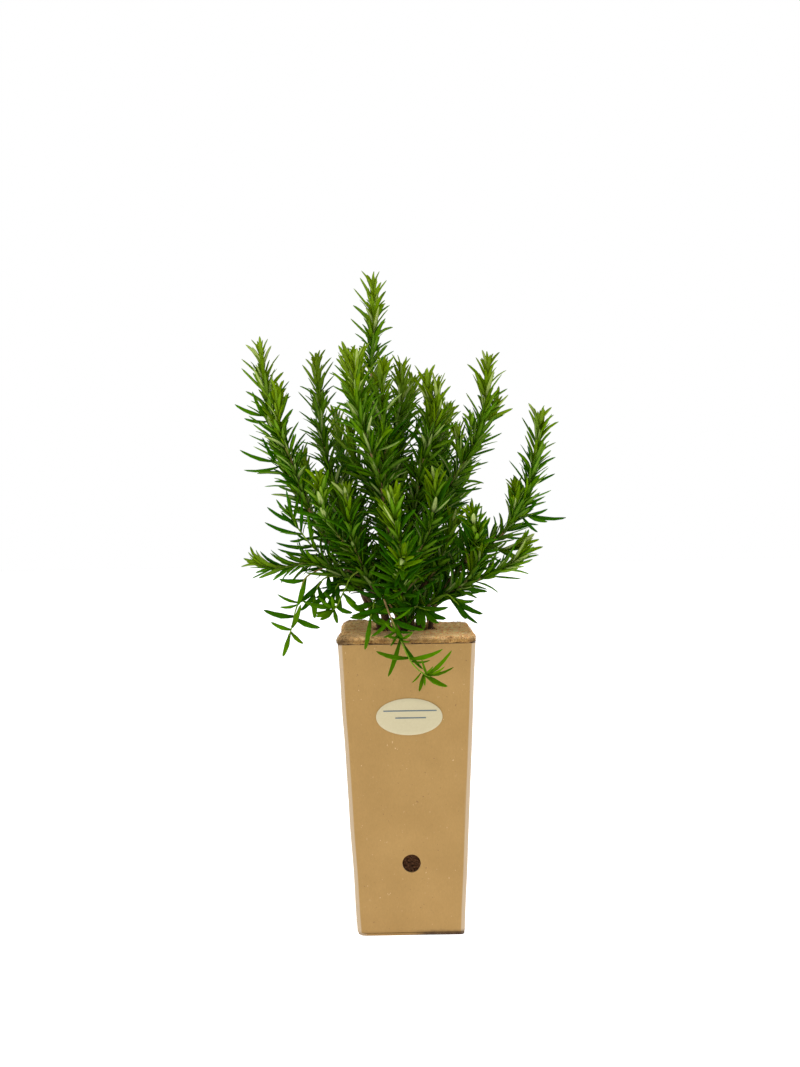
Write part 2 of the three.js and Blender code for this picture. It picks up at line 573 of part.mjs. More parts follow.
// A three-sided leaf: flat on its upper face, keeled below, pointed at its root in the wood and at its tip
function leafSolid({ root, belly, tip, width, half }, woodRadius) {
  const along = tip.clone().sub(root).normalize();
  const face = along.clone().cross(width).normalize();
  const points = [
    root.clone().addScaledVector(along, -LEAF_BACK * woodRadius),
    belly.clone().addScaledVector(width, half).addScaledVector(face, -LEAF_THICKNESS * 0.3),
    belly.clone().addScaledVector(width, -half).addScaledVector(face, -LEAF_THICKNESS * 0.3),
    belly.clone().addScaledVector(face, LEAF_THICKNESS * 0.7),
    tip,
  ];
  return solidOf(points, [[0, 1, 2], [0, 2, 3], [0, 3, 1], [4, 2, 1], [4, 3, 2], [4, 1, 3]]);
}

// Stretches of wood and leaf as thick lines, to keep the stems clear of each other
function nearestApart(a, b) {
  const alongA = a.end.clone().sub(a.start);
  const alongB = b.end.clone().sub(b.start);
  const between = a.start.clone().sub(b.start);
  const aa = alongA.dot(alongA);
  const bb = alongB.dot(alongB);
  const ab = alongA.dot(alongB);
  const ad = alongA.dot(between);
  const bd = alongB.dot(between);
  const limit = (value) => THREE.MathUtils.clamp(value, 0, 1);
  const spread = aa * bb - ab * ab;
  let onA = spread > 1e-6 ? limit((ab * bd - bb * ad) / spread) : 0;
  const onB = limit((ab * onA + bd) / bb);
  onA = limit((ab * onB - ad) / aa);
  const pointA = a.start.clone().addScaledVector(alongA, onA);
  const pointB = b.start.clone().addScaledVector(alongB, onB);
  const room = mix(a.from, a.to, onA) + mix(b.from, b.to, onB);
  return pointA.distanceTo(pointB) - room;
}

function tooClose(line, others, room) {
  return others.some((other) => {
    const reach = line.reach + other.reach + room;
    return line.middle.distanceToSquared(other.middle) < reach * reach && nearestApart(line, other) < room;
  });
}

function thickLine(start, end, from, to, root) {
  const middle = start.clone().add(end).multiplyScalar(0.5);
  const reach = start.distanceTo(end) / 2 + Math.max(from, to);
  return { start, end, from, to, root, middle, reach };
}

function linesOfWood(shoot) {
  const lines = [];
  const steps = Math.ceil(shoot.woodEnd / RING_STEP);
  for (let i = 0; i < steps; i++) {
    const [from, to] = [i, i + 1].map((step) => (step / steps) * shoot.woodEnd);
    const [start, end] = [from, to].map((distance) => shoot.route.pointAt(distance));
    lines.push(thickLine(start, end, radiusAt(shoot, from), radiusAt(shoot, to)));
  }
  return lines;
}

function linesOfLeaf(leaf) {
  return [
    thickLine(leaf.root, leaf.belly, 0.2, leaf.half, leaf.root),
    thickLine(leaf.belly, leaf.tip, leaf.half, 0.2, leaf.root),
  ];
}

// The pot and its mat, which leaves stay clear of
function meetsPot(leaf) {
  const room = LEAF_HALF_WIDTH + 1;
  const half = MAT_WIDTH / 2 + room;
  return [leaf.belly, leaf.tip].some((point) =>
    point.z < POT_HEIGHT + MAT_THICKNESS + room && Math.abs(point.x) < half && Math.abs(point.y) < half);
}

// The lip of the mat, as thick lines too
const lipPoints = LIP_ROUTE.map((point) => vector(...point));
const lipLines = lipPoints.slice(1).map((point, i) =>
  thickLine(lipPoints[i], point, LIP_WIDTH / 2, LIP_WIDTH / 2));

const layouts = STEMS.map(layOut);
const woodLines = layouts.map((shoots) => shoots.flatMap(linesOfWood));
const leafLines = STEMS.map(() => []);

// Ways to bend a leaf clear of what it would cross: more turn round the stem, more lean, in degrees
const NUDGES = [[0, 0], [20, 0], [-20, 0], [0, -14], [0, 14], [38, -6], [-38, -6], [20, 24], [-20, 24]];
const CLEARANCE = 0.35; // between one stem's leaves and another stem
const OWN_CLEARANCE = -0.6; // leaves of one stem may just touch
const NEIGHBOUR = 9; // leaves of one stem that are rooted closer than this aren't compared

function isClear(leaf, owner) {
  if (meetsPot(leaf)) return false;
  const lines = linesOfLeaf(leaf);
  if (lines.some((line) => tooClose(line, lipLines, CLEARANCE))) return false;
  for (let other = 0; other < STEMS.length; other++) {
    if (other === owner) continue;
    const obstacles = [...woodLines[other], ...leafLines[other]];
    if (lines.some((line) => tooClose(line, obstacles, CLEARANCE))) return false;
  }
  const own = leafLines[owner].filter((line) => line.root.distanceTo(leaf.root) > NEIGHBOUR);
  return !lines.some((line) => tooClose(line, own, OWN_CLEARANCE));
}

// Crossed pairs of leaves from the end of the wood down to where the shoot is bare
function leavesOf(shoot, owner, random) {
  const leaves = [];
  let turn = shoot.turn;
  let pair = 0;
  for (let fromApex = 0.5; fromApex < shoot.woodEnd - shoot.bare; pair++) {
    const distance = shoot.woodEnd - fromApex;
    const root = woodPoint(shoot, distance);
    const axis = shoot.route.directionAt(distance);
    for (let half = 0; half < 2; half++) {
      const around = turn + half * 180 + (random() - 0.5) * SPREAD_TURN;
      const angle = leafAngleAt(fromApex) + (random() - 0.5) * SPREAD_ANGLE;
      const shaded = mix(1, SHADE_LENGTH, shadeAt(root.z));
      const length = leafLengthAt(fromApex) * shaded * mix(...SPREAD_LENGTH, random());
      const bend = radians(mix(...LEAF_BEND, random()));
      if (pair % KEPT_PAIR > 0) continue;
      for (const [moreTurn, moreLean] of NUDGES) {
        const [turned, leant] = [radians(around + moreTurn), radians(angle + moreLean)];
        const leaf = leafLine(root, axis, turned, leant, length, bend);
        if (isClear(leaf, owner)) {
          leaves.push(leafSolid(leaf, radiusAt(shoot, distance)));
          leafLines[owner].push(...linesOfLeaf(leaf));
          break;
        }
      }
    }
    turn += 90;
    fromApex += PAIR_SPACING * mix(TIP_SPACING, 1, smooth(fromApex, 0, 24));
  }
  return leaves;
}

function listedLeavesOf(shoot, owner) {
  const leaves = [];
  for (const [at, tip, half] of shoot.leaves) {
    const distance = Math.min(shoot.route.length * at, shoot.woodEnd);
    const leaf = leafTo(woodPoint(shoot, distance), vector(...tip), half);
    if (!isClear(leaf, owner)) continue;
    leaves.push(leafSolid(leaf, radiusAt(shoot, distance)));
    leafLines[owner].push(...linesOfLeaf(leaf));
  }
  return leaves;
}

function makeStem(stem, owner) {
  const random = makeRandom(LEAF_SEED + owner);
  const solids = [];
  for (const shoot of layouts[owner]) {
    const leaves = shoot.leaves ? listedLeavesOf(shoot, owner) : leavesOf(shoot, owner, random);
    solids.push(woodOf(shoot), ...leaves);
  }
  return meshOf(stem.name, wasm.Manifold.union(solids), COLOURS.rosemary);
}

const group = new THREE.Group();
group.add(makePot(), makeLabel(), makeSoil(), makeMat());
STEMS.forEach((stem, owner) => group.add(makeStem(stem, owner)));

export default group;
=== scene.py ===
"""A young bush of rosemary in a tall square pot of folded board: its looks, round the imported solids.

Blender's metres, +Z up, with the front of the pot facing -Y. The plant's own sizes are written in
millimetres, as in the part's source, and are scaled by MM when their meshes are made.
"""
import math

import bmesh
import bpy
import numpy as np
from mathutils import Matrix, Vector, noise


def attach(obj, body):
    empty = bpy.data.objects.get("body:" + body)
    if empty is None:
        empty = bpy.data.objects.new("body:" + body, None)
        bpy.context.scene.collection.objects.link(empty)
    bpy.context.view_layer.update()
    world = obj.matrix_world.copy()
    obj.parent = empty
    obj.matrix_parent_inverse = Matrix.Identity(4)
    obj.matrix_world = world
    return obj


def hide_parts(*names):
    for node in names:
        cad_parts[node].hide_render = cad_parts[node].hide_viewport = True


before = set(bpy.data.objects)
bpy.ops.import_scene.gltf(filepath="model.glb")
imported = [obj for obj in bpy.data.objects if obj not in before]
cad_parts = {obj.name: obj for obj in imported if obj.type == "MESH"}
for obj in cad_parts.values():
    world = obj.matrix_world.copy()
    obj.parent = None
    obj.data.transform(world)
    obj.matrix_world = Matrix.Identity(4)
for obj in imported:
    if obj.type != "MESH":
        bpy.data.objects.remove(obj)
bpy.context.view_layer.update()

MM = 0.001

# Camera, as the photograph was taken
CAMERA_PLACE = (-0.0047, -0.755, 0.3155)
CAMERA_DOWN = 0.69  # degrees
CAMERA_ROLL = 0.93
CAMERA_RIGHT = 0.09
SENSOR_HEIGHT = 36.0
LENS = 31.715

# Studio
SKY_LIGHT = 0.52  # how much the white surroundings light the plant
SKY_SEEN = 1.0  # how white the camera sees them
FLOOR_COLOUR = (0.9, 0.9, 0.9)
FLOOR_GLOW = 0.9
FLOOR_SIZE = 12.0
LAMPS = [  # name, place, aimed at, width, watts
    ("top_softbox", (-0.25, -0.5, 1.5), (0, 0, 0.35), 0.8, 5.6),
    ("left_softbox", (-1.3, -0.25, 0.6), (0, 0, 0.25), 0.7, 1.6),
    ("right_softbox", (1.2, 0.0, 0.75), (0, 0, 0.25), 0.7, 3.0),
    ("front_softbox", (0.3, -1.5, 0.7), (0, 0, 0.25), 0.9, 1.3),
]

# Pot of corrugated board, as in the part's source
POT_TOP = 104.0
POT_BASE = 82.0
POT_HEIGHT = 224.0
POT_CORNER = 3.4
BOARD = 2.0
DRAIN_DIAMETER = 14.0
DRAIN_HEIGHT = 56.0
DRAIN_X = 1.0
DRAIN_STEPS = 40
FOOT_HEIGHTS = [0, 0.8, 1.7, 1.9, 2.4, 2.6, 4]  # of the rings round the base flap and its groove
FLAP_RINGS = 3
FLAP_TOP = 1.8
FLAP_INSET = 0.25
GROOVE_TOP = 2.5
GROOVE_INSET = 0.7
WAVE_SIZE = 34  # of the board's unevenness
WAVE_DEPTH = 0.5
BOARD_STEPS = 22
CORNER_STEPS = 6
CHAMFER = 4.5

# Mat, as in the part's source
MAT_WIDTH = 106.4
MAT_THICKNESS = 6.2
OPENING = (-1.0, 1.0, 25.0, 18.0)  # middle x, y and half widths
MAT_VOXEL = 1.0
MAT_SOFTENING = 5
MAT_LUMPS = [(13, 0.6), (4.5, 0.4), (1.7, 0.3)]  # size and height
MAT_SWELLS = [  # place, reach, height
    ((-47.0, -51.0, 227.0), 8.0, 1.6),
    ((-44.0, 46.0, 230.0), 22.0, 3.0),
]
MAT_SETTLED = 0.7  # how far the mat's surface has settled
MAT_SKIRT = 0.7  # how far its edge hangs over the pot's rim
# painted light on the mat's top, and painted shade down its sides, which are also redder
MAT_TOP_PAINTED_LIGHT = (1.75, 1.6, 1.5)
MAT_SIDE_PAINTED_SHADE = (0.68, 0.55, 0.36)
MAT_STAINS_LIGHT_AND_SHADE = [  # place, reach, and how dark or light the mat is there: stains, painted shade under the rolled front left corner and painted light on the top right
    ((-50, -52, 224), 7, 0.45), ((-53, -44, 226), 4, 0.5), ((52, -52, 227), 3.5, 0.3),
    ((-47, -52, 229), 9, 0.55), ((-48, 45, 231), 14, 0.76), ((30, -30, 231), 26, 1.22),
    ((45, 48, 230), 5, 0.4), ((-53, -30, 226), 4, 0.6), ((6, -53, 226), 13, 0.7),
    ((-12, -30, 231), 14, 0.75),
]
MAT_HUG = 0.4  # how far the hanging edge stands off the board
STRANDS = 1500
STRAND_LENGTH = (3, 9)
STRAND_WIDTH = (0.07, 0.16)  # half of it
STRAND_LIFT = (0.1, 0.4)
STRAND_LOOSE = 0.12  # how much further some stand off the mat
STRAND_CURVE = 0.35
STRAND_SLANT = 0.08
STRAND_SEED = 5
STRAND_SECTION = [(1, 0), (0, 1), (-1, 0), (0, -1)]

# Label, as in the part's source
LABEL_WIDTH = 50.0
LABEL_HEIGHT = 28.0
LABEL_X = 1.0
LABEL_Z = 169.0
LABEL_GAP = 0.3
LABEL_STEPS = 96
LABEL_RINGS = [  # size and how far off the board, from the back of the paper round to its front
    (0.3, 0), (1, 0), (1.0, 0.2), (0.985, 0.3), (0.8, 0.26), (0.5, 0.3), (0.2, 0.28),
]
LABEL_CURL = 0.12
LABEL_LINES = [(0.6, 4.6, 40.0), (1.0, -0.8, 23.0)]  # middle across, height and length
LINE_WIDTH = 0.9
LINE_LIFT = 0.72
INK = (0.1, 0.14, 0.16)

# Soil crumbs
OPENING_CRUMBS = 420
OPENING_SIZES = (0.6, 2.1)
DRAIN_CRUMBS = 70
DRAIN_SIZES = (0.5, 1.5)
EDGE_CRUMBS = (9.5, 11.0, 14.5, 16.0, 19.0, 21.5, 24.0)  # heights
EDGE_SIZES = (0.3, 0.75)
CRUMB_SEED = 12

# Stems, as in the part's source
APEX_BELOW_TIP = 12.0
APEX_RADIUS = 0.8
WOOD_TAPER = 0.8
FORK_THINNER = 0.9  # a side shoot is this much thinner than its parent
FORK_RADIUS = 1.5  # and at most this thick at its foot
CURVE_STEPS = 24
LEAF_LENGTH = 25.0
LEAF_RISE = 0.2
SHADE_HEIGHTS = (250, 305)
SHADE_LENGTH = 1.12
SHADE_WIDTH = 1.25
PAIR_SPACING = 5.6
LISTED_SAG = 0.07
LISTED_FACING = (0, -1, 0.35)
LEAF_SEED = 20417
TURN_SEED = 311
STEMS = [  # name, foot, radius, shoots as (on, at, bare, points) or (on, at, bare, points, leaves)
    ("centre", (-4, 4), 2.6, [
        (None, 0, 12, [(-5, 3, 253), (-10, 4, 293), (-16, 8, 350), (-22, 10, 399), (-25, 12, 440),
            (-23, 14, 464), (-22, 15, 489), (-23, 15, 517)]),
        (0, 0.4, 12, [(-8, 12, 374), (-2, 14, 407), (0, 13, 427), (-1, 11, 448)]),
        (0, 0.33, 14, [(-6, 24, 367), (2, 36, 401), (8, 42, 424), (10, 45, 442)]),
        (0, 0.34, 12, [(-28, 4, 347), (-38, 1, 364), (-42, -1, 382), (-43, -2, 399)]),
    ]),
    ("left_tall", (-13, 2.5), 2.3, [
        (None, 0, 32, [(-17, 1, 244), (-30, -3, 266), (-44, -4, 284), (-61, 0, 302), (-81, 2, 335),
            (-94, 0, 362), (-103, -4, 391), (-107, -6, 414), (-110, -8, 436), (-112, -8, 460)]),
        (0, 0.48, 8, [(-88, -14, 364), (-95, -24, 385), (-97, -28, 404), (-96, -30, 425)]),
        (0, 0.2, 0, [(-60, -8, 286), (-72, -9, 296), (-80, -11, 306), (-86, -12, 315), (-90, -13, 324),
            (-97, -14, 334)],
         [(0.3, (-64, -16, 306), 1.58), (0.42, (-100, -16, 296), 1.66), (0.5, (-76, -20, 324), 1.58),
          (0.52, (-101, -16, 301), 1.66), (0.62, (-92, -2, 302), 1.51), (0.66, (-110, -14, 317), 1.73),
          (0.68, (-80, -18, 336), 1.58), (0.78, (-108, -14, 329), 1.66), (0.8, (-84, -6, 340), 1.51),
          (0.82, (-101, -12, 335), 1.44), (0.83, (-92, -20, 342), 1.44)]),
        (0, 0.6, 0, [(-97, -3, 361), (-104, -5, 367), (-113, -6, 375)],
         [(0.3, (-127, -6, 359), 1.7), (0.42, (-111, -12, 384), 1.6), (0.5, (-130, -6, 375), 1.8)]),
        (0, 0.735, 0, [(-106, -6, 395), (-111, -8, 403), (-118, -9, 413)],
         [(0.3, (-126, -6, 400), 1.6), (0.42, (-118, -14, 420), 1.6), (0.5, (-133, -8, 411), 1.8)]),
    ]),
    ("left_inner", (-19, 5), 2, [
        (None, 0, 34, [(-21, 4.5, 234), (-27, 3.5, 244), (-34, 3, 256), (-37, 5, 270), (-42, 9, 290),
            (-50, 14, 320), (-59, 18, 354), (-66, 22, 384), (-69, 26, 410), (-70, 28, 435),
            (-71, 30, 457)]),
    ]),
    ("front_left", (-7, -3), 2.3, [
        (None, 0, 20, [(-7, -9, 256), (-11, -22, 294), (-16, -35, 333), (-21, -42, 358),
            (-28, -46, 378), (-34, -48, 400), (-35, -48, 423), (-34, -48, 445)]),
        (0, 0.68, 6, [(-37, -41, 413), (-40, -34, 433), (-42, -29, 452)]),
        (0, 0.5, 8, [(-14, -27, 367), (-16, -24, 398), (-16, -22, 422), (-15, -20, 444)]),
        (0, 0.72, 8, [(-30, -40, 402), (-32, -34, 428), (-31, -28, 451)]),
    ]),
    ("front", (3, -9), 1.9, [
        (None, 0, 6, [(0, -18, 246), (-4, -34, 263), (-5, -60, 278), (-3, -84, 287), (-1, -104, 292)]),
        (0, 0.55, 6, [(-3, -68, 294), (-6, -78, 310), (-8, -84, 328), (-7, -86, 341)]),
        (0, 0.3, 12, [(8, -42, 287), (18, -50, 309), (22, -62, 328), (22, -66, 342), (21, -66, 355)]),
        (0, 0.14, 0, [(6, -26, 250), (13, -34, 248.5), (19, -40, 248), (26, -46, 248)],
         [(0.24, (-10, -34, 260), 2.5), (0.3, (10, -42, 264), 2.5), (0.4, (-6, -44, 245), 2.3),
          (0.48, (32, -38, 250), 2.6), (0.5, (9, -50, 238), 2.4), (0.56, (30, -44, 242), 2.5),
          (0.58, (13, -47, 235), 2.3), (0.6, (24, -56, 240), 2.2)]),
    ]),
    ("centre_right", (5, -1), 2.2, [
        (None, 0, 8, [(5, -2, 252), (4, -5, 282), (6, -8, 309), (12, -13, 349), (18, -16, 373),
            (21, -18, 399), (20, -18, 417), (17, -18, 433)]),
        (0, 0.66, 6, [(26, -24, 394), (27, -26, 412), (26, -26, 428)]),
        (0, 0.4, 10, [(16, 0, 342), (26, 8, 368), (32, 14, 392), (36, 18, 410)]),
    ]),
    ("right_tall", (12, 1), 2.3, [
        (None, 0, 20, [(12, -2, 252), (14, -8, 282), (20, -12, 307), (32, -16, 336), (44, -15, 356),
            (57, -12, 378), (64, -8, 402), (67, -6, 423), (69, -4, 448)]),
        (0, 0.56, 6, [(45, -19, 360), (43, -20, 378), (42, -20, 395)]),
        (0, 0.76, 5, [(67, -4, 396), (73, -1, 406), (77, 0, 418)]),
        (0, 0.16, 12, [(24, -18, 278), (33, -27, 301), (40, -31, 323)]),
    ]),
    ("far_right", (19, 5), 2.2, [
        (None, 0, 20, [(24, -2, 252), (40, -8, 274), (63, -12, 294), (82, -14, 310), (95, -16, 333),
            (101, -18, 356), (106, -18, 382), (108, -18, 404)]),
        (0, 0.32, 8, [(50, -24, 290), (54, -44, 301), (51, -60, 314), (48, -66, 327)]),
        (0, 0.42, 8, [(75, -20, 293), (86, -25, 296), (98, -28, 302)]),
        (0, 0.57, 0, [(93, -16, 319), (99, -17, 320), (111, -17, 320)],
         [(0.25, (104, -20, 306), 1.6), (0.3, (104, -22, 332), 1.6), (0.4, (112, -18, 314), 1.5),
          (0.44, (113, -14, 324), 1.4), (0.5, (127, -16, 317), 1.7)]),
        (0, 0.54, 1, [(86, -17, 322), (86.5, -20, 334), (85, -22, 348)]),
    ]),
    ("low_right", (12, -7), 1.8, [
        (None, 0, 22, [(15, -14, 246), (27, -20, 257), (50, -28, 268), (71, -32, 277), (84, -34, 284),
            (95, -34, 297)]),
        (0, 0.5, 5, [(55, -37, 283), (56, -42, 301)]),
        (0, 0.3, 0, [(32, -30, 259), (40, -38, 252), (46, -44, 245)],
         [(0.42, (54, -45, 238), 2.2), (0.52, (58, -44, 245), 2.2), (0.6, (52, -40, 255), 1.6),
          (0.66, (45, -50, 242), 1.8)]),
    ]),
    ("low_left", (-21, 0), 1.9, [
        (None, 0, 36, [(-25, -2, 246), (-38, -6, 264), (-56, -9, 278), (-75, -12, 285), (-91, -14, 282),
            (-106, -14, 282), (-123, -14, 287)]),
        (0, 0.55, 0, [(-78, -24, 273), (-82, -30, 257), (-85, -32, 249), (-88, -34, 236),
            (-90, -34, 230), (-93, -34, 219)],
         [(0.27, (-83, -36, 253), 2.2), (0.3, (-97, -32, 273), 2), (0.53, (-98, -38, 262), 1.3),
          (0.55, (-98, -24, 251), 1.3), (0.67, (-109, -36, 250), 2.3), (0.68, (-66, -38, 236), 2.3),
          (0.78, (-80, -42, 254), 2.2), (0.8, (-103, -40, 241), 1.8), (0.82, (-79, -38, 224), 1.7),
          (0.84, (-95, -36, 214), 2)]),
        (0, 0.42, 0, [(-62, -12, 273), (-69, -17, 266), (-73, -20, 256), (-75, -22, 247)],
         [(0.1, (-74, -24, 251), 2.8), (0.2, (-52, -24, 260), 2.5), (0.3, (-59, -24, 264), 2.4),
          (0.45, (-85, -26, 254), 2.5), (0.55, (-62, -22, 250), 2.2), (0.7, (-82, -24, 248), 2.2),
          (0.72, (-71, -26, 242), 2.4)]),
        (0, 0.34, 0, [(-52, -16, 268), (-56, -20, 260), (-58, -23, 252)],
         [(0.3, (-40, -24, 264), 2.4), (0.45, (-70, -26, 258), 2.4), (0.6, (-50, -30, 248), 2.3),
          (0.65, (-62, -30, 246), 2.4)]),
    ]),
    ("over_front", (-4, -11), 1.4, [
        (None, 0, 0, [(-9, -16, 244), (-17, -28, 258), (-15, -42, 252), (-10, -58, 241), (-5, -70, 231),
            (-1, -78, 222), (3, -83, 215), (9, -87, 209), (17, -90, 205), (25, -92, 202)],
         [(0.3, (-38, -34, 264), 2), (0.34, (0, -44, 266), 2), (0.4, (-36, -52, 248), 2),
          (0.42, (6, -54, 252), 2), (0.5, (-26, -66, 232), 1.8), (0.5, (13, -64, 236), 2),
          (0.57, (-3, -76, 229), 1.5), (0.65, (-15, -78, 234), 1.1), (0.66, (-14, -76, 204), 1.9),
          (0.67, (11, -83, 210), 1.5), (0.78, (-22, -88, 224), 1.9), (0.785, (25, -90, 225), 1.9),
          (0.915, (10, -96, 219), 1), (0.91, (31, -98, 225), 1.6), (0.91, (32, -102, 214), 1.2),
          (0.9, (28, -92, 199), 2), (0.895, (8, -88, 195), 1.5), (0.6, (-17, -72, 232), 1),
          (0.62, (-12, -76, 226), 0.9), (0.6, (4, -74, 236), 1.1), (0.66, (2, -84, 230), 0.8),
          (0.8, (16, -94, 218), 0.9), (0.9, (18, -96, 214), 0.8), (0.88, (3, -92, 202), 0.7),
          (0.9, (12, -94, 200), 0.8), (0.93, (26, -98, 214), 1), (0.34, (-25.6, -44, 269), 1.5),
          (0.34, (-12, -46, 272), 1.8), (0.52, (3.6, -62, 252), 1), (0.5, (8, -64, 236.5), 2.1),
          (0.5, (-3, -77, 232), 1.8), (0.62, (-16, -74, 243), 1.1), (0.66, (4.6, -82, 237), 1.2)]),
    ]),
    ("front_left_low", (-14, -6), 1.9, [
        (None, 0, 36, [(-21, -14, 252), (-36, -26, 286), (-52, -40, 308), (-60, -52, 324),
            (-62, -60, 340), (-64, -62, 355)]),
        (0, 0.42, 8, [(-40, -42, 302), (-42, -52, 324), (-45, -56, 345)]),
        (0, 0.4, 0, [(-42, -30, 274), (-46, -33, 266), (-50, -36, 258), (-53, -39, 252),
            (-58, -41, 248), (-66, -43, 245)],
         [(0.5, (-38, -38, 254), 1.8), (0.66, (-62, -46, 264), 1.8), (0.72, (-41, -38, 247), 2),
          (0.72, (-79, -40, 257), 2.2), (0.76, (-66, -45, 260), 1.4), (0.76, (-56, -46, 260), 1.5),
          (0.78, (-65, -47, 243), 2), (0.78, (-69, -40, 245), 2), (0.77, (-71, -34, 247), 1.8),
          (0.77, (-52, -46, 240), 1.7)]),
        (0, 0.12, 0, [(-25, -20, 251), (-29, -29, 248), (-32, -37, 246), (-34, -46, 245)],
         [(0.36, (-14, -34, 258), 2.5), (0.5, (-10, -42, 248), 2.4), (0.6, (-41, -42, 245), 2.4),
          (0.64, (-16, -48, 238), 2.3), (0.66, (-37, -50, 244), 2.2),
          (0.68, (-45.5, -46, 258.5), 2.3)]),
        (0, 0.2, 0, [(-24, -28, 256), (-25, -40, 251), (-27, -50, 244), (-29, -58, 236)],
         [(0.3, (-8, -42, 256), 2.4), (0.4, (-40, -46, 252), 2.3), (0.45, (-10, -50, 248), 2.2),
          (0.6, (-20, -62, 242), 2.2), (0.66, (-42, -54, 245), 2.1), (0.7, (-12, -60, 240), 2.2),
          (0.78, (-31, -63, 222), 2)]),
    ]),
    ("back_left", (-16, 9), 2.2, [
        (None, 0, 34, [(-21, 13, 250), (-36, 32, 294), (-48, 50, 347), (-56, 62, 387), (-60, 68, 417)]),
        (0, 0.42, 8, [(-60, 38, 324), (-80, 42, 352), (-88, 44, 380)]),
        (0, 0.2, 10, [(-40, 46, 278), (-58, 72, 300), (-68, 90, 327)]),
    ]),
    ("back", (-1, 13), 2.2, [
        (None, 0, 20, [(-4, 24, 258), (-9, 46, 307), (-13, 68, 352), (-15, 84, 387), (-15, 92, 414)]),
        (0, 0.28, 10, [(2, 56, 286), (8, 84, 302), (11, 110, 322)]),
        (0, 0.16, 12, [(14, 44, 262), (24, 66, 264), (30, 86, 254)]),
    ]),
    ("back_right", (9, 10), 2.2, [
        (None, 0, 22, [(12, 18, 252), (22, 36, 302), (33, 56, 352), (38, 70, 392), (40, 78, 417)]),
        (0, 0.42, 8, [(40, 46, 325), (51, 58, 348), (57, 62, 372)]),
        (0, 0.2, 10, [(32, 44, 276), (52, 70, 300), (64, 88, 328)]),
    ]),
]

# The finer leaf: its cross-section as (across, up), as shares of half its width, and where it is felted
FINE_SECTION = [(-1, -0.2), (-0.8, 0.12), (-0.4, 0.3), (0, 0.06), (0.4, 0.3), (0.8, 0.12),
                (1, -0.2), (0.75, -0.5), (0.35, -0.22), (0, -0.42), (-0.35, -0.22), (-0.75, -0.5)]
FINE_FELT = [0, 0, 0, 0, 0, 0, 0, 0.1, 1, 0.55, 1, 0.1]
FINE_RINGS = [0, 0.18, 0.42, 0.68, 0.9, 1]
SMALL_SECTION = [(-1, -0.1), (-0.55, 0.26), (0, 0.06), (0.55, 0.26),
                 (1, -0.1), (0.6, -0.32), (0, -0.24), (-0.6, -0.32)]
SMALL_FELT = [0, 0, 0, 0, 0, 0.4, 0.9, 0.4]
SMALL_RINGS = [0, 0.22, 0.5, 0.8, 0.95, 1]

# The main leaves, in crossed pairs. A reach is a distance from the shoot's apex
HALF_WIDTH = 1.8
WIDTH_SPREAD = (0.85, 1.1)
LEAF_ANGLES = (26, 48, 66)  # degrees from the stem: at the apex, and at each reach
ANGLE_REACHES = (50, 130)
ANGLE_SPREAD = 18
TURN_SPREAD = 30  # degrees round the stem
TIP_LENGTH = 0.7  # of the youngest leaves, as a share of LEAF_LENGTH
TIP_REACHES = (-2, 20)
OLD_LENGTH = 1.08  # of the oldest leaves
OLD_REACHES = (30, 90)
LENGTH_SPREAD = (0.86, 1.1)
TIP_SPACING = 0.75  # of the youngest pairs, as a share of PAIR_SPACING
SPACING_REACH = 24
LEAF_BEND = (2, 15)  # degrees; a leaf bends by four times this along its length
LEAF_TWIST = 0.35
LEAF_DROOP = (0.02, 0.05)  # mean and spread
LEAF_ROLL = 0.4
LISTED_ROLL = 0.12
TONE_SPREAD = 0.45  # how much darker or lighter single leaves are
FRESH_HEIGHTS = (300, 420)  # between these, more and more of each shoot is young and yellowish, and below them leaves are painted deeper in shade
FRESH_SHARE = (0.7, 0.9)  # below and above these heights
FRESH_REACH = (26, 55)

# Half the width of a leaf along it, as shares
FOOT_WIDTH = 0.42  # where it leaves the stem
WIDEST_AT = 0.4
TIP_NARROWS = 0.42
POINT_FROM = 0.84
POINT_NARROWS = 0.78

# The second leaves of each node, in its bud
BUD_TURN = (25, 75)
BUD_ANGLE = (0.35, 0.95)  # as a share of the main leaf's
BUD_LENGTH = (0.7, 0.95)
BUD_WIDTH = (0.75, 0.95)
CROWN_FROM = 300.0  # above this the shoots are fuller, with two of them for each main leaf
TIP_BELOW = 14.0  # except within this distance of the apex

# The small leaves at the foot of a main leaf
TUFT_COUNT = (0.5, 2.3)
TUFT_COUNT_REACHES = (8, 34)
TUFT_MOST = 6
TUFT_TILT = (8, 30)
TUFT_LENGTH = (11, 17)
TUFT_LENGTH_REACHES = (8, 70)
TUFT_LENGTH_SPREAD = (0.6, 1.15)
TUFT_ANGLE = (6, 40)
TUFT_WIDTH = (0.55, 0.8)

# Short side shoots
SPIRAL = 137  # degrees round the stem from one bud to the next
SIDE_FROM_APEX = 62.0  # the youngest side shoot is this far from the tip
SIDE_LENGTH = (24, 42)
SIDE_LEAN = (35, 70)  # degrees from the longer shoot
SIDE_BOW = (0.02, 0.3)  # how far the tip bows up, as a share of the length
SIDE_SPACING = (7, 13)
SIDE_WITHIN = 62.0  # side shoots grow only this near to the middle of the bush
SIDE_OUTWARD = 8.0  # how much further out than its foot a side shoot ends at most
SIDE_LEAF_ANGLES = (22, 62)
SIDE_ANGLE_REACH = 26
SIDE_LEAF_LENGTHS = (13, 21)
SIDE_LENGTH_REACHES = (-2, 12)
SIDE_LENGTH_SPREAD = (0.75, 1.05)
SIDE_PAIRS = (3.4, 5.8)  # spacing of pairs at the apex and past the reach
SIDE_PAIR_REACH = 12
SIDE_FRESH_REACH = 18

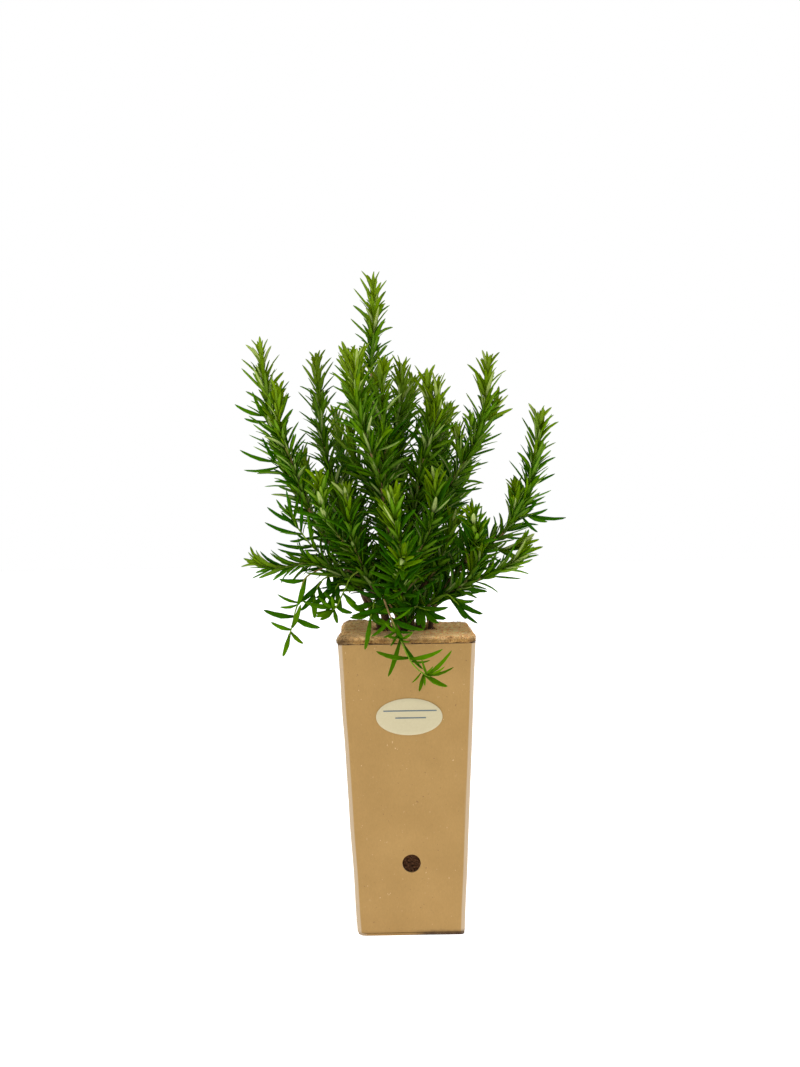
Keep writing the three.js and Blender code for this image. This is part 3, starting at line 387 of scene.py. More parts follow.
# Pale undersides
PALE_LEAVES = 0.16  # the share of pale leaves elsewhere
PALE_PLACES = [  # where a leaf that faces forward shows its whole pale underside
    (-37.3, -50, 399.3), (-62.3, -60, 335.1), (-59.9, -56, 320.3), (-43.3, -57, 332.6), (20.9, -66, 329.2),
    (50.1, -66, 317), (-5.9, -106, 297.7), (-105.6, -12, 389.9),
]
PALE_WITHIN = 17.0
PALE_WIDER = 1.45
LEVEL_SHOOT = -0.7  # a shoot that points forward more than this shows its leaves' upper faces

# Listed leaves and wood
LISTED_DARK = (262, 290)  # above these heights the listed leaves are old and dark
FILLED_RISE = 30.0  # a listed shoot that rises more than this has small leaves too
LISTED_WOOD = 0.66  # thickness of the wood of a shoot with listed leaves, as a share of the solid's
WOOD_TURNS = np.radians(range(0, 360, 36))
WOOD_SECTION = np.stack([np.cos(WOOD_TURNS), np.sin(WOOD_TURNS)], -1)
WOOD_STEP = 3.0
WOOD_END = 0.4  # the wood narrows to this share of its thickness in its last step
BARK_SIZE = 0.45
BARK_DEPTH = 0.25
FOOT_SHOWN = 8.0  # how far the wood goes on below the top of the soil

# Painted shade inside the bush
INNER_FROM = (242, 267)  # heights between which the leaves get darker with painted shade
INNER_TO = (322, 412)  # and lighter again
INNER_WITHIN = (45, 85)  # distances from the middle of the bush between which this fades out
INNER_PAINTED_SHADE = 0.32
ROOT_PAINTED_SHADE = 0.45  # painted shade: how much darker a leaf is where it leaves the stem, shaded by the others
ROOT_REACH = 0.45  # how far along the leaf this fades out

# Linear colours
MATURE = np.array([0.07, 0.208, 0.0])
DEEP = np.array([0.027, 0.136, 0.0])
FRESH = np.array([0.19, 0.285, 0.0])
FELT = np.array([0.58, 0.66, 0.24])
UNDERSIDE = np.array([0.165, 0.3, 0.0])
UNDERSIDE_SHARE = 0.45
TOP_DARKER = 0.86
FELT_GREEN = 0.15  # how much of the green shows through the felt
MATURE_AND_LIT_FROM = (0.25, 0.7)  # how mature a leaf of middle tone is, low down and high up; lower leaves are also deeper as painted shade
TONE_LIGHT = 0.22
GREEN_WOOD = np.array([0.17, 0.3, 0.01])
TAN_WOOD = np.array([0.37, 0.23, 0.09])
OLD_WOOD = np.array([0.11, 0.06, 0.03])
TAN_REACHES = (20, 70)
OLD_WOOD_REACHES = (90, 190)
OLD_WOOD_HEIGHTS = (255, 300)  # the wood of upright shoots is old and dark below these
CORNER_HIGHLIGHT_COLOUR = (0.5, 0.375, 0.24)  # painted highlight: paler paper where the rounded upright corners catch the side light and white surroundings
BOARD_COLOURS = ((0.37, 0.217, 0.065), (0.418, 0.249, 0.079))
BOARD_FLECKS = ((0.24, 0.13, 0.05), (0.66, 0.47, 0.24))
# the raw cut edge's brown, darkened with painted shade for the hollows of its flutes and the shadow along
# the foot
RAW_EDGE_AND_SHADE = (0.05, 0.022, 0.008)
PAPER_COLOURS = ((0.54, 0.472, 0.292), (0.565, 0.497, 0.31))
COIR_COLOURS = ((0.4, 0.23, 0.09), (0.66, 0.45, 0.2), (0.82, 0.63, 0.36))
COIR_SPECKS = ((0.4, 0.25, 0.14), (1, 1, 1), (1.2, 1.2, 1.15))
COIR_SHEEN = (1, 0.8, 0.55)
SOIL_COLOURS = ((0.02, 0.008, 0.003), (0.12, 0.05, 0.02), (0.25, 0.13, 0.06))


def smooth(value, low, high):
    share = np.clip((value - low) / (high - low), 0, 1)
    return share * share * (3 - 2 * share)


def mix(a, b, share):
    return a + (b - a) * share


def unit(vector):
    return vector / np.linalg.norm(vector, axis=-1, keepdims=True)


# Camera and studio

def make_camera():
    data = bpy.data.cameras.new("camera")
    data.sensor_fit = "VERTICAL"
    data.sensor_height = SENSOR_HEIGHT
    data.lens = LENS
    data.clip_end = 50
    camera = bpy.data.objects.new("camera", data)
    camera.location = CAMERA_PLACE
    turns = (90 - CAMERA_DOWN, CAMERA_ROLL, -CAMERA_RIGHT)
    camera.rotation_euler = [math.radians(angle) for angle in turns]
    bpy.context.scene.collection.objects.link(camera)
    bpy.context.scene.camera = camera


def make_surroundings():
    world = bpy.data.worlds.new("surroundings")
    bpy.context.scene.world = world
    world.use_nodes = True
    nodes, links = world.node_tree.nodes, world.node_tree.links
    nodes.clear()
    lit = nodes.new("ShaderNodeBackground")
    lit.inputs["Strength"].default_value = SKY_LIGHT
    seen = nodes.new("ShaderNodeBackground")
    seen.inputs["Strength"].default_value = SKY_SEEN
    for background in (lit, seen):
        background.inputs["Color"].default_value = (1, 1, 1, 1)
    path = nodes.new("ShaderNodeLightPath")
    either = nodes.new("ShaderNodeMixShader")
    output = nodes.new("ShaderNodeOutputWorld")
    links.new(path.outputs["Is Camera Ray"], either.inputs["Fac"])
    links.new(lit.outputs[0], either.inputs[1])
    links.new(seen.outputs[0], either.inputs[2])
    links.new(either.outputs[0], output.inputs["Surface"])
    bpy.context.scene.view_settings.view_transform = "Standard"


def make_lamps():
    for name, place, aim, width, watts in LAMPS:
        data = bpy.data.lights.new(name, "AREA")
        data.shape = "DISK"
        data.size = width
        data.energy = watts
        lamp = bpy.data.objects.new(name, data)
        lamp.location = place
        lamp.rotation_euler = (Vector(aim) - Vector(place)).to_track_quat("-Z", "Y").to_euler()
        bpy.context.scene.collection.objects.link(lamp)


def make_floor():
    half = FLOOR_SIZE / 2
    corners = [(-half, -half, 0), (half, -half, 0), (half, half, 0), (-half, half, 0)]
    floor = make_object("floor", corners, [(0, 1, 2, 3)], plain_material("floor_white"))
    shader = floor.data.materials[0].node_tree.nodes["Principled BSDF"]
    shader.inputs["Base Color"].default_value = (*FLOOR_COLOUR, 1)
    shader.inputs["Roughness"].default_value = 0.9
    shader.inputs["Emission Color"].default_value = (1, 1, 1, 1)
    shader.inputs["Emission Strength"].default_value = FLOOR_GLOW


# Meshes and materials

def make_object(name, points, faces, *materials):
    mesh = bpy.data.meshes.new(name)
    if isinstance(faces, np.ndarray):
        faces = faces.tolist()
    mesh.from_pydata(np.asarray(points).tolist(), [], faces)
    mesh.polygons.foreach_set("use_smooth", [True] * len(mesh.polygons))
    for material in materials:
        mesh.materials.append(material)
    made = bpy.data.objects.new(name, mesh)
    bpy.context.scene.collection.objects.link(made)
    return made


def set_tint(made, colours):
    """Gives each point of the mesh its own colour, which its material reads."""
    tint = made.data.attributes.new("tint", "FLOAT_COLOR", "POINT")
    rgba = np.ones((len(made.data.vertices), 4), np.float32)
    rgba[:, :3] = colours
    tint.data.foreach_set("color", rgba.ravel())


def plain_material(name):
    material = bpy.data.materials.new(name)
    material.use_nodes = True
    return material


class Builder:
    """Adds and joins the nodes of one material."""

    def __init__(self, name):
        self.material = plain_material(name)
        self.tree = self.material.node_tree
        self.shader = self.tree.nodes["Principled BSDF"]

    def add(self, kind, values=None, **settings):
        node = self.tree.nodes.new("ShaderNode" + kind)
        for setting, value in settings.items():
            setattr(node, setting, value)
        for socket, value in (values or {}).items():
            if isinstance(value, bpy.types.NodeSocket):
                self.tree.links.new(value, node.inputs[socket])
            else:
                node.inputs[socket].default_value = value
        return node.outputs[0]

    def join(self, output, socket):
        self.tree.links.new(output, self.shader.inputs[socket])

    def set(self, **values):
        for socket, value in values.items():
            self.shader.inputs[socket.replace("_", " ")].default_value = value

    def place(self):
        return self.add("TexCoord").node.outputs["Object"]

    def tint(self):
        return self.add("Attribute", attribute_name="tint")

    def noise(self, scale, detail=3.0, roughness=0.55, vector=None):
        vector = vector or self.place()
        values = {"Vector": vector, "Scale": scale, "Detail": detail, "Roughness": roughness}
        return self.add("TexNoise", values)

    def stretched(self, scale):
        return self.add("Mapping", {"Vector": self.place(), "Scale": scale})

    def corner_highlight_share(self):
        """Where the painted highlight goes: 1 where the surface faces between two walls, as on a rounded
        upright corner, else 0.
        """
        normal = self.add("NewGeometry").node.outputs["Normal"]
        facing = self.add("SeparateXYZ", {"Vector": normal}).node
        both = self.add("Math", {0: facing.outputs[0], 1: facing.outputs[1]}, operation="MULTIPLY")
        return self.ramp(self.add("Math", {0: both}, operation="ABSOLUTE"), [(0.06, 0), (0.16, 1)])

    def ramp(self, factor, stops):
        """stops are (place, colour or grey)"""
        stops = list(stops)
        output = self.add("ValToRGB", {"Fac": factor})
        elements = output.node.color_ramp.elements
        while len(elements) < len(stops):
            elements.new(0.5)
        for element, (place, colour) in zip(elements, stops):
            element.position = place
            rgb = (colour,) * 3 if isinstance(colour, (int, float)) else colour
            element.color = (*rgb, 1)
        return output

    def blend(self, kind, factor, a, b):
        node = self.add("Mix", data_type="RGBA", blend_type=kind).node
        for socket, value in ((0, factor), (6, a), (7, b)):
            if isinstance(value, bpy.types.NodeSocket):
                self.tree.links.new(value, node.inputs[socket])
            else:
                node.inputs[socket].default_value = value if socket == 0 else (*value, 1)
        return node.outputs[2]

    def bump(self, height, strength, distance):
        normal = self.add("Bump", {"Height": height, "Strength": strength, "Distance": distance})
        self.join(normal, "Normal")

    def raw_edge_and_shade_share(self):
        """Where the base flap's raw edge shows, with painted shade in its flutes and along the foot: a
        jagged band along the foot, mostly to the right.
        """
        parts = self.add("SeparateXYZ", {"Vector": self.place()}).node.outputs
        jag = self.add("Math", {0: self.noise(260, 3), 1: 0.0022, 2: -0.0004}, operation="MULTIPLY_ADD")
        under = self.add("Math", {0: parts["Z"], 1: jag}, operation="SUBTRACT")
        low = self.ramp(under, [(0.0006, 1), (0.0012, 0)])
        rightward = self.ramp(parts["X"], [(0.0, 0.25), (0.012, 1)])
        return self.add("Math", {0: low, 1: rightward}, operation="MULTIPLY")


def leaf_material():
    make = Builder("rosemary_leaf")
    mottle = make.ramp(make.noise(420, 2), [(0.3, 0.86), (0.7, 1.12)])
    make.join(make.blend("MULTIPLY", 1, make.tint(), mottle), "Base Color")
    make.bump(make.noise(700, 2), 0.15, 0.0003)
    make.set(Roughness=0.42, Specular_IOR_Level=0.018)
    return make.material


def wood_material():
    make = Builder("rosemary_wood")
    bark = make.noise(900, 4, vector=make.stretched((1, 1, 0.25)))
    lines = make.ramp(bark, [(0.3, 0.6), (0.7, 1.3)])
    make.join(make.blend("MULTIPLY", 1, make.tint(), lines), "Base Color")
    make.bump(bark, 0.6, 0.0006)
    make.set(Roughness=0.8, Specular_IOR_Level=0.25)
    return make.material


def board_material():
    make = Builder("kraft_board")
    cloud = make.ramp(make.noise(28, 4), zip((0.3, 0.7), BOARD_COLOURS))
    fibre = make.noise(900, 3, vector=make.stretched((1, 1, 0.5)))
    fibre = make.ramp(fibre, [(0.3, 0.95), (0.7, 1.04)])
    body = make.blend("MULTIPLY", 1, cloud, fibre)
    dark = make.ramp(make.noise(330, 2, 0.7), [(0.69, 0), (0.75, 1)])
    pale = make.ramp(make.noise(410, 2, 0.7, make.stretched((1.3, 1, 0.8))), [(0.7, 0), (0.76, 1)])
    for fleck, colour in zip((dark, pale), BOARD_FLECKS):
        body = make.blend("MIX", fleck, body, colour)
    # painted highlight on the rounded upright corners
    body = make.blend("MIX", make.corner_highlight_share(), body, CORNER_HIGHLIGHT_COLOUR)
    # the foot's raw edge, with painted shade
    make.join(make.blend("MIX", make.raw_edge_and_shade_share(), body, RAW_EDGE_AND_SHADE), "Base Color")
    make.bump(fibre, 0.15, 0.0004)
    make.set(Roughness=0.75, Specular_IOR_Level=0.35, Sheen_Weight=0.25, Sheen_Roughness=0.4)
    return make.material


def label_material():
    make = Builder("label_paper")
    grain = make.ramp(make.noise(700, 3), zip((0.3, 0.7), PAPER_COLOURS))
    make.join(grain, "Base Color")
    make.bump(make.noise(1600, 2), 0.1, 0.0002)
    make.set(Roughness=0.5, Specular_IOR_Level=0.4)
    return make.material


def ink_material():
    make = Builder("grey_ink")
    make.set(Base_Color=(*INK, 1), Roughness=0.6)
    return make.material


def coir_material():
    make = Builder("coir")
    clump = make.ramp(make.noise(170, 5, 0.65), zip((0.3, 0.5, 0.72), COIR_COLOURS))
    strands = make.noise(1300, 4, 0.7, make.stretched((1, 0.6, 1)))
    body = make.blend("MULTIPLY", 1, clump, make.ramp(strands, [(0.32, 0.6), (0.7, 1.3)]))
    specks = make.ramp(make.noise(620, 3, 0.7), zip((0.34, 0.47, 0.7), COIR_SPECKS))
    body = make.blend("MULTIPLY", 1, body, specks)
    body = make.blend("MULTIPLY", 1, body, make.tint())
    make.join(body, "Base Color")
    make.bump(strands, 0.9, 0.0012)
    make.set(Roughness=0.95, Specular_IOR_Level=0.15)
    make.set(Sheen_Weight=0.35, Sheen_Roughness=0.5, Sheen_Tint=(*COIR_SHEEN, 1))
    return make.material


def soil_material():
    make = Builder("potting_soil")
    lumps = make.noise(520, 5, 0.7)
    make.join(make.ramp(lumps, zip((0.3, 0.6, 0.75), SOIL_COLOURS)), "Base Color")
    make.bump(lumps, 1.0, 0.002)
    make.set(Roughness=0.95, Specular_IOR_Level=0.2)
    return make.material


# Stems and leaves

def draws(seed):
    """Numbers from 0 to 1, the same ones each time, as in the part's source."""
    state = seed
    while True:
        state = (state * 1664525 + 1013904223) % 2**32
        yield state / 2**32


class Route:
    """A smooth line through points, measured along its length."""

    def __init__(self, points):
        points = np.array(points, float)
        points = np.vstack([2 * points[0] - points[1], points, 2 * points[-1] - points[-2]])
        share = np.linspace(0, 1, CURVE_STEPS, endpoint=False)[:, None]
        samples = []
        for a, b, c, d in zip(points, points[1:], points[2:], points[3:]):
            enter, leave = (c - a) / 2, (d - b) / 2
            samples.append((2 * b - 2 * c + enter + leave) * share**3
                           + (3 * c - 3 * b - 2 * enter - leave) * share**2 + enter * share + b)
        self.samples = np.vstack([*samples, points[-2]])
        steps = np.linalg.norm(np.diff(self.samples, axis=0), axis=1)
        self.lengths = np.concatenate([[0], np.cumsum(steps)])
        self.length = self.lengths[-1]

    def point(self, distance):
        return np.stack([np.interp(distance, self.lengths, self.samples[:, i]) for i in range(3)], -1)

    def direction(self, distance):
        return unit(self.point(distance + 1) - self.point(distance - 1))


def across(direction):
    """Two directions across a stem's direction, which turn little as it bends."""
    side = np.cross([0.24, 0.97, 0], direction)
    if np.linalg.norm(side) < 0.2:
        side = np.cross([1, 0, 0], direction)
    side = unit(side)
    return side, np.cross(direction, side)


class Shoot:
    """The wood of one shoot, and the leaves listed for it if there are any."""

    def __init__(self, route, base, bare, turn, grounded=False, leaves=None):
        self.route = route
        self.base = base
        self.bare = bare
        self.turn = turn
        self.grounded = grounded
        self.leaves = leaves
        self.wood_end = route.length - APEX_BELOW_TIP

    def radius(self, distance):
        return mix(self.base, APEX_RADIUS, np.clip(distance / self.wood_end, 0, 1) ** WOOD_TAPER)


def lay_out(foot, radius, shoots, owner):
    """The shoots of a stem, each from the soil or from a place on an earlier one."""
    turns = draws(TURN_SEED + owner)
    placed = []
    for on, at, bare, points, *leaves in shoots:
        start = (*foot, POT_HEIGHT)
        base = radius
        if on is not None:
            parent = placed[on]
            start = parent.route.point(parent.route.length * at)
            base = min(parent.radius(parent.route.length * at) * FORK_THINNER, FORK_RADIUS)
        placed.append(Shoot(Route([start, *points]), base, bare, next(turns) * 90, on is None, *leaves))
    return placed


def outward_at(axis, around):
    """The direction away from a stem at an angle round it."""
    side, other = across(axis)
    return side * math.cos(math.radians(around)) + other * math.sin(math.radians(around))


def place_leaf(root, axis, around, angle, length, bend, **looks):
    """A leaf by its angles round the stem and from it; looks are its width, twist, colour and so on."""
    return {"root": root, "axis": axis, "outward": outward_at(axis, around), "angle": math.radians(angle),
            "length": length, "bend": math.radians(bend), **looks}


def leaf_to(root, tip, **looks):
    """A listed leaf, with its upper face turned forward."""
    length = np.linalg.norm(tip - root)
    axis = (tip - root) / length
    back = -np.array(LISTED_FACING)
    return {"root": root, "axis": axis, "outward": unit(back - axis * (back @ axis)), "tip": tip,
            "length": length, **looks}


def leaf_spine(leaf, shares):
    """The points of a leaf's middle line at these shares of its length."""
    if "tip" in leaf:
        shares = np.array(shares)[:, None]
        sag = LISTED_SAG * leaf["length"] * 4 * shares * (1 - shares)
        return mix(leaf["root"], leaf["tip"], shares) - sag * (0, 0, 1)
    fine = np.linspace(0, 1, 25)
    tilt = leaf["angle"] + leaf["bend"] * (4 * fine - 1.84)
    heading = leaf["axis"] * np.cos(tilt)[:, None] + leaf["outward"] * np.sin(tilt)[:, None]
    line = np.vstack([np.zeros(3), np.cumsum((heading[1:] + heading[:-1]) / 2, axis=0) / 24])
    climb = leaf["axis"][2] * math.cos(leaf["angle"]) + leaf["outward"][2] * math.sin(leaf["angle"])
    level = 1 - abs(climb)
    line[:, 2] += (LEAF_RISE * level - leaf["droop"]) * fine**2
    spots = np.stack([np.interp(shares, fine, line[:, i]) for i in range(3)], -1)
    return leaf["root"] + spots * leaf["length"]


def meets_pot(leaf):
    """Whether the outer half of a leaf is in the pot or its mat."""
    points = leaf_spine(leaf, [0.5, 0.75, 1])
    half = MAT_WIDTH / 2 + 1
    low = points[:, 2] < POT_HEIGHT + MAT_THICKNESS + 1
    return bool(np.any(low & (np.abs(points[:, 0]) < half) & (np.abs(points[:, 1]) < half)))


def shade(height):
    """How far in the shade a height in the bush is: leaves low down are longer and broader."""
    return 1 - smooth(height, *SHADE_HEIGHTS)


def leaf_angle(from_apex):
    """Leaves stand out further from the stem as they age."""
    young, grown, old = LEAF_ANGLES
    first, second = ANGLE_REACHES
    angle = young + (grown - young) * smooth(from_apex, 0, first)
    return angle + (old - grown) * smooth(from_apex, first, second)


def paired(shoot, bare, spacing):
    """Crossed pairs from the end of the wood down to where it is bare, as
    (distance from the apex, root, stem's direction, angle round the stem) of each leaf."""
    turn, from_apex = shoot.turn, 0.5
    while from_apex < shoot.wood_end - bare:
        distance = shoot.wood_end - from_apex
        root, axis = shoot.route.point(distance), shoot.route.direction(distance)
        yield from_apex, root, axis, turn
        yield from_apex, root, axis, turn + 180
        turn += 90
        from_apex += spacing(from_apex)


def main_leaves(shoot, random, rng):
    def spacing(from_apex):
        return PAIR_SPACING * mix(TIP_SPACING, 1, smooth(from_apex, 0, SPACING_REACH))

    leaves = []
    for from_apex, root, axis, around in paired(shoot, shoot.bare, spacing):
        broad = HALF_WIDTH * mix(1, SHADE_WIDTH, shade(root[2]))
        high = smooth(root[2], *FRESH_HEIGHTS)
        around += (next(random) - 0.5) * TURN_SPREAD
        angle = leaf_angle(from_apex) + (next(random) - 0.5) * ANGLE_SPREAD
        length = LEAF_LENGTH * mix(TIP_LENGTH, 1, smooth(from_apex, *TIP_REACHES))
        length *= mix(1, OLD_LENGTH, smooth(from_apex, *OLD_REACHES))
        length *= mix(1, SHADE_LENGTH, shade(root[2])) * mix(*LENGTH_SPREAD, next(random))
        bend = mix(*LEAF_BEND, next(random))
        age = smooth(from_apex + rng.normal(0, 8), 4, mix(*FRESH_REACH, high))
        leaves.append(place_leaf(root, axis, around, angle, length, bend,
                                 width=broad * rng.uniform(*WIDTH_SPREAD),
                                 twist=rng.normal(0, LEAF_TWIST), droop=droop(rng, *LEAF_DROOP),
                                 fresh=mix(*FRESH_SHARE, high) * (1 - age), felt=pale_share(rng),
                                 from_apex=from_apex, small=False))
    return leaves


def droop(rng, mean, spread):
    return max(rng.normal(mean, spread), 0)


def pale_share(rng):
    """How felted a leaf's underside is: a few leaves are pale, most hardly at all."""
    return rng.uniform(0.7, 1) if rng.uniform() < PALE_LEAVES else rng.uniform(0, 0.16)


def listed_leaves(shoot, rng):
    leaves = []
    for at, tip, half in shoot.leaves:
        distance = min(shoot.route.length * at, shoot.wood_end)
        root = shoot.route.point(distance)
        fresh = rng.uniform(0.1, 0.5) * smooth(at, 0.3, 0.9) * (1 - smooth(root[2], *LISTED_DARK))
        leaves.append(leaf_to(root, np.array(tip, float), width=half, twist=rng.normal(0, 0.2),
                              fresh=fresh, felt=rng.uniform(0, 1)**3,
                              from_apex=shoot.wood_end - distance, small=False))
    return leaves


def side_shoots(shoot, rng):
    """Short leafy shoots off the older part of a longer one, which fill the inside of the bush."""
    shoots = []
    turn = rng.uniform(0, 360)
    distance = shoot.bare * 0.6
    while distance < shoot.wood_end - SIDE_FROM_APEX:
        start = shoot.route.point(distance)
        if np.linalg.norm(start[:2]) > SIDE_WITHIN:
            break
        axis = shoot.route.direction(distance)
        turn += SPIRAL + rng.normal(0, 12)
        outward = outward_at(axis, turn)
        lean = math.radians(rng.uniform(*SIDE_LEAN))
        heading = axis * math.cos(lean) + outward * math.sin(lean)
        length = rng.uniform(*SIDE_LENGTH)
        bow = np.array([0, 0, length * rng.uniform(*SIDE_BOW)])
        points = [start, start + heading * length * 0.5, start + heading * length + bow]
        if np.linalg.norm(points[2][:2]) < np.linalg.norm(start[:2]) + SIDE_OUTWARD:
            shoots.append(Shoot(Route(points), 1.0, 4, rng.uniform(0, 90)))
        distance += rng.uniform(*SIDE_SPACING)
    return shoots


def side_leaves(shoot, young, rng):
    """The smaller leaves of a side shoot; young is how fresh its tip is."""
    def spacing(from_apex):
        return rng.uniform(0.85, 1.15) * mix(*SIDE_PAIRS, smooth(from_apex, 0, SIDE_PAIR_REACH))

    leaves = []
    for from_apex, root, axis, around in paired(shoot, 2, spacing):
        around += rng.normal(0, 12)
        angle = mix(*SIDE_LEAF_ANGLES, smooth(from_apex, 0, SIDE_ANGLE_REACH)) + rng.normal(0, 9)
        length = rng.uniform(*SIDE_LENGTH_SPREAD)
        length *= mix(*SIDE_LEAF_LENGTHS, smooth(from_apex, *SIDE_LENGTH_REACHES))
        leaves.append(place_leaf(root, axis, around, angle, length, rng.normal(3, 4),
                                 width=HALF_WIDTH * rng.uniform(0.75, 1.0),
                                 twist=rng.normal(0, LEAF_TWIST), droop=droop(rng, 0.04, 0.06),
                                 fresh=(1 - smooth(from_apex, 0, SIDE_FRESH_REACH)) * young,
                                 felt=rng.uniform(0, 1)**4, from_apex=from_apex, small=True))
    return leaves


def bud_leaf(leaf, rng):
    """A leaf of the same node's bud, mostly more upright, which fills the shoot out."""
    turned = math.radians(rng.uniform(*BUD_TURN) * rng.choice((-1, 1)))
    sideways = np.cross(leaf["axis"], leaf["outward"])
    outward = leaf["outward"] * math.cos(turned) + sideways * math.sin(turned)
    angle = leaf["angle"] * rng.uniform(*BUD_ANGLE)
    return {**leaf, "outward": outward, "angle": angle, "length": leaf["length"] * rng.uniform(*BUD_LENGTH),
            "width": leaf["width"] * rng.uniform(*BUD_WIDTH), "felt": pale_share(rng), "small": True}


def tuft_leaves(leaf, rng):
    """Small leaves of the bud between a leaf and the stem."""
    from_apex = leaf["from_apex"]
    count = rng.poisson(mix(*TUFT_COUNT, smooth(from_apex, *TUFT_COUNT_REACHES)))
    tilt = math.radians(rng.uniform(*TUFT_TILT))
    axis = unit(leaf["axis"] * math.cos(tilt) + leaf["outward"] * math.sin(tilt))
    turn = rng.uniform(0, 360)
    longest = mix(*TUFT_LENGTH, smooth(from_apex, *TUFT_LENGTH_REACHES))
    tuft = []
    for index in range(min(count, TUFT_MOST)):
        root = leaf["root"] + axis * rng.uniform(0.3, 2.2)
        tuft.append(place_leaf(root, axis, turn + index * SPIRAL, rng.uniform(*TUFT_ANGLE),
                               longest * rng.uniform(*TUFT_LENGTH_SPREAD), rng.normal(2, 4),
                               width=HALF_WIDTH * rng.uniform(*TUFT_WIDTH), twist=rng.normal(0, 0.4),
                               droop=0.02, fresh=min(leaf["fresh"] + rng.uniform(0, 0.45), 1),
                               felt=rng.uniform(0, 0.9)**3, from_apex=from_apex, small=True))
    return tuft


def show_pale(leaves):
    """The leaf nearest to each pale place turns its underside forward."""
    middles = np.array([leaf_spine(leaf, [0.45])[0] for leaf in leaves])
    forward = np.array(["tip" not in leaf and leaf["outward"][1] < 0.1 for leaf in leaves])
    for place in PALE_PLACES:
        away = np.where(forward, np.linalg.norm(middles - place, axis=1), np.inf)
        nearest = int(np.argmin(away))
        if away[nearest] < PALE_WITHIN:
            leaf = leaves[nearest]
            outward = np.array([0, -1, 0]) + leaf["axis"] * leaf["axis"][1]
            roll = math.pi if leaf["axis"][1] < LEVEL_SHOOT else 0
            leaf.update(felt=1.0, fresh=0.3, roll=roll, twist=0.0, outward=unit(outward), small=False,
                        width=HALF_WIDTH * PALE_WIDER)


def sweep(spines, width, half, section, twist=None):
    """Points and faces of many strips at once: a closed cross-section moved along each strip's line.

    spines is (strips, rings, 3), width a direction for each strip, half the section's scale at each
    ring and section its points as (across, up). The section has an even number of points.
    """
    section = np.array(section)
    along = unit(np.gradient(spines, axis=1))
    width = width[:, None, :] - along * np.sum(width[:, None, :] * along, -1, keepdims=True)
    width = unit(width)
    upward = np.cross(width, along)
    if twist is not None:
        width, upward = (width * np.cos(twist)[..., None] + upward * np.sin(twist)[..., None],
                         upward * np.cos(twist)[..., None] - width * np.sin(twist)[..., None])
    half = half[:, :, None, None]
    points = (spines[:, :, None, :] + width[:, :, None, :] * half * section[None, None, :, :1]
              + upward[:, :, None, :] * half * section[None, None, :, 1:])
    count, rings, sides = points.shape[:3]
    faces = []
    for ring in range(rings - 1):
        for side in range(sides):
            after = (side + 1) % sides
            low, high = ring * sides, (ring + 1) * sides
            faces.append([low + side, high + side, high + after, low + after])
    last = (rings - 1) * sides
    for side in range(sides // 2 - 1):
        cap = [side, side + 1, sides - 2 - side, sides - 1 - side]
        faces.append(cap)
        faces.append([last + corner for corner in reversed(cap)])
    faces = np.array(faces)[None] + (np.arange(count) * rings * sides)[:, None, None]
    return points, faces.reshape(-1, 4)


def leaf_taper(shares):
    """Half the width along a leaf: narrow at its foot, widest in the middle and rounded to a point."""
    foot = mix(FOOT_WIDTH, 1, smooth(shares, 0, WIDEST_AT))
    tip = 1 - TIP_NARROWS * smooth(shares, WIDEST_AT, 0.97)
    point = 1 - POINT_NARROWS * np.clip((shares - POINT_FROM) / (1 - POINT_FROM), 0, 1) ** 2
    return foot * tip * point


def leaf_shapes(leaves, section, felt_share, shares):
    """Points, faces and colours of many leaves with one cross-section."""
    shares = np.array(shares)
    spines = np.stack([leaf_spine(leaf, shares) for leaf in leaves])
    width = unit(np.cross([leaf["outward"] for leaf in leaves], [leaf["axis"] for leaf in leaves]))
    half = np.array([leaf["width"] for leaf in leaves])[:, None] * leaf_taper(shares)
    twist = np.array([leaf["twist"] for leaf in leaves])[:, None] * shares
    twist += np.array([leaf["roll"] for leaf in leaves])[:, None]
    points, faces = sweep(spines, width, half, section, twist)
    colours = leaf_colours(leaves, felt_share, shares)
    return points.reshape(-1, 3), faces, colours.reshape(-1, 3)


def leaf_colours(leaves, felt_share, shares):
    """Yellow-green at the apex, deeper on older leaves, with painted shade low in the bush, inside it and
    at each leaf's root, and paler beneath.
    """
    def looks(name):
        return np.array([leaf[name] for leaf in leaves])[:, None, None, None]

    along = shares[None, :, None, None]
    fresh = looks("fresh") ** 1.3 * (0.75 + 0.25 * along)
    tone = looks("tone")
    roots = np.array([leaf["root"] for leaf in leaves])
    # painted shade low in the bush: lower leaves lean towards the deep green
    lit = smooth(roots[:, 2], *FRESH_HEIGHTS)[:, None, None, None]
    mature = np.clip(tone + mix(*MATURE_AND_LIT_FROM, lit), 0, 1)
    green = mix(mix(DEEP, MATURE, mature), FRESH, fresh) * (1 + TONE_LIGHT * tone)
    under = np.array(felt_share)[None, None, :, None]
    beneath = mix(green, UNDERSIDE, UNDERSIDE_SHARE)
    green = mix(green * TOP_DARKER, beneath, np.minimum(under * 2, 1))
    cover = looks("felt") * under
    # painted shade inside the bush
    inner = smooth(roots[:, 2], *INNER_FROM) * (1 - smooth(roots[:, 2], *INNER_TO))
    inner *= 1 - smooth(np.hypot(roots[:, 0], roots[:, 1]), *INNER_WITHIN)
    inner = inner[:, None, None, None]
    # painted shade inside the bush and at each leaf's root
    darker = (1 - INNER_PAINTED_SHADE * inner) * (1 - ROOT_PAINTED_SHADE * (1 - smooth(along, 0, ROOT_REACH)))
    return np.clip(mix(green, mix(FELT, green, FELT_GREEN), cover) * darker, 0, 1)


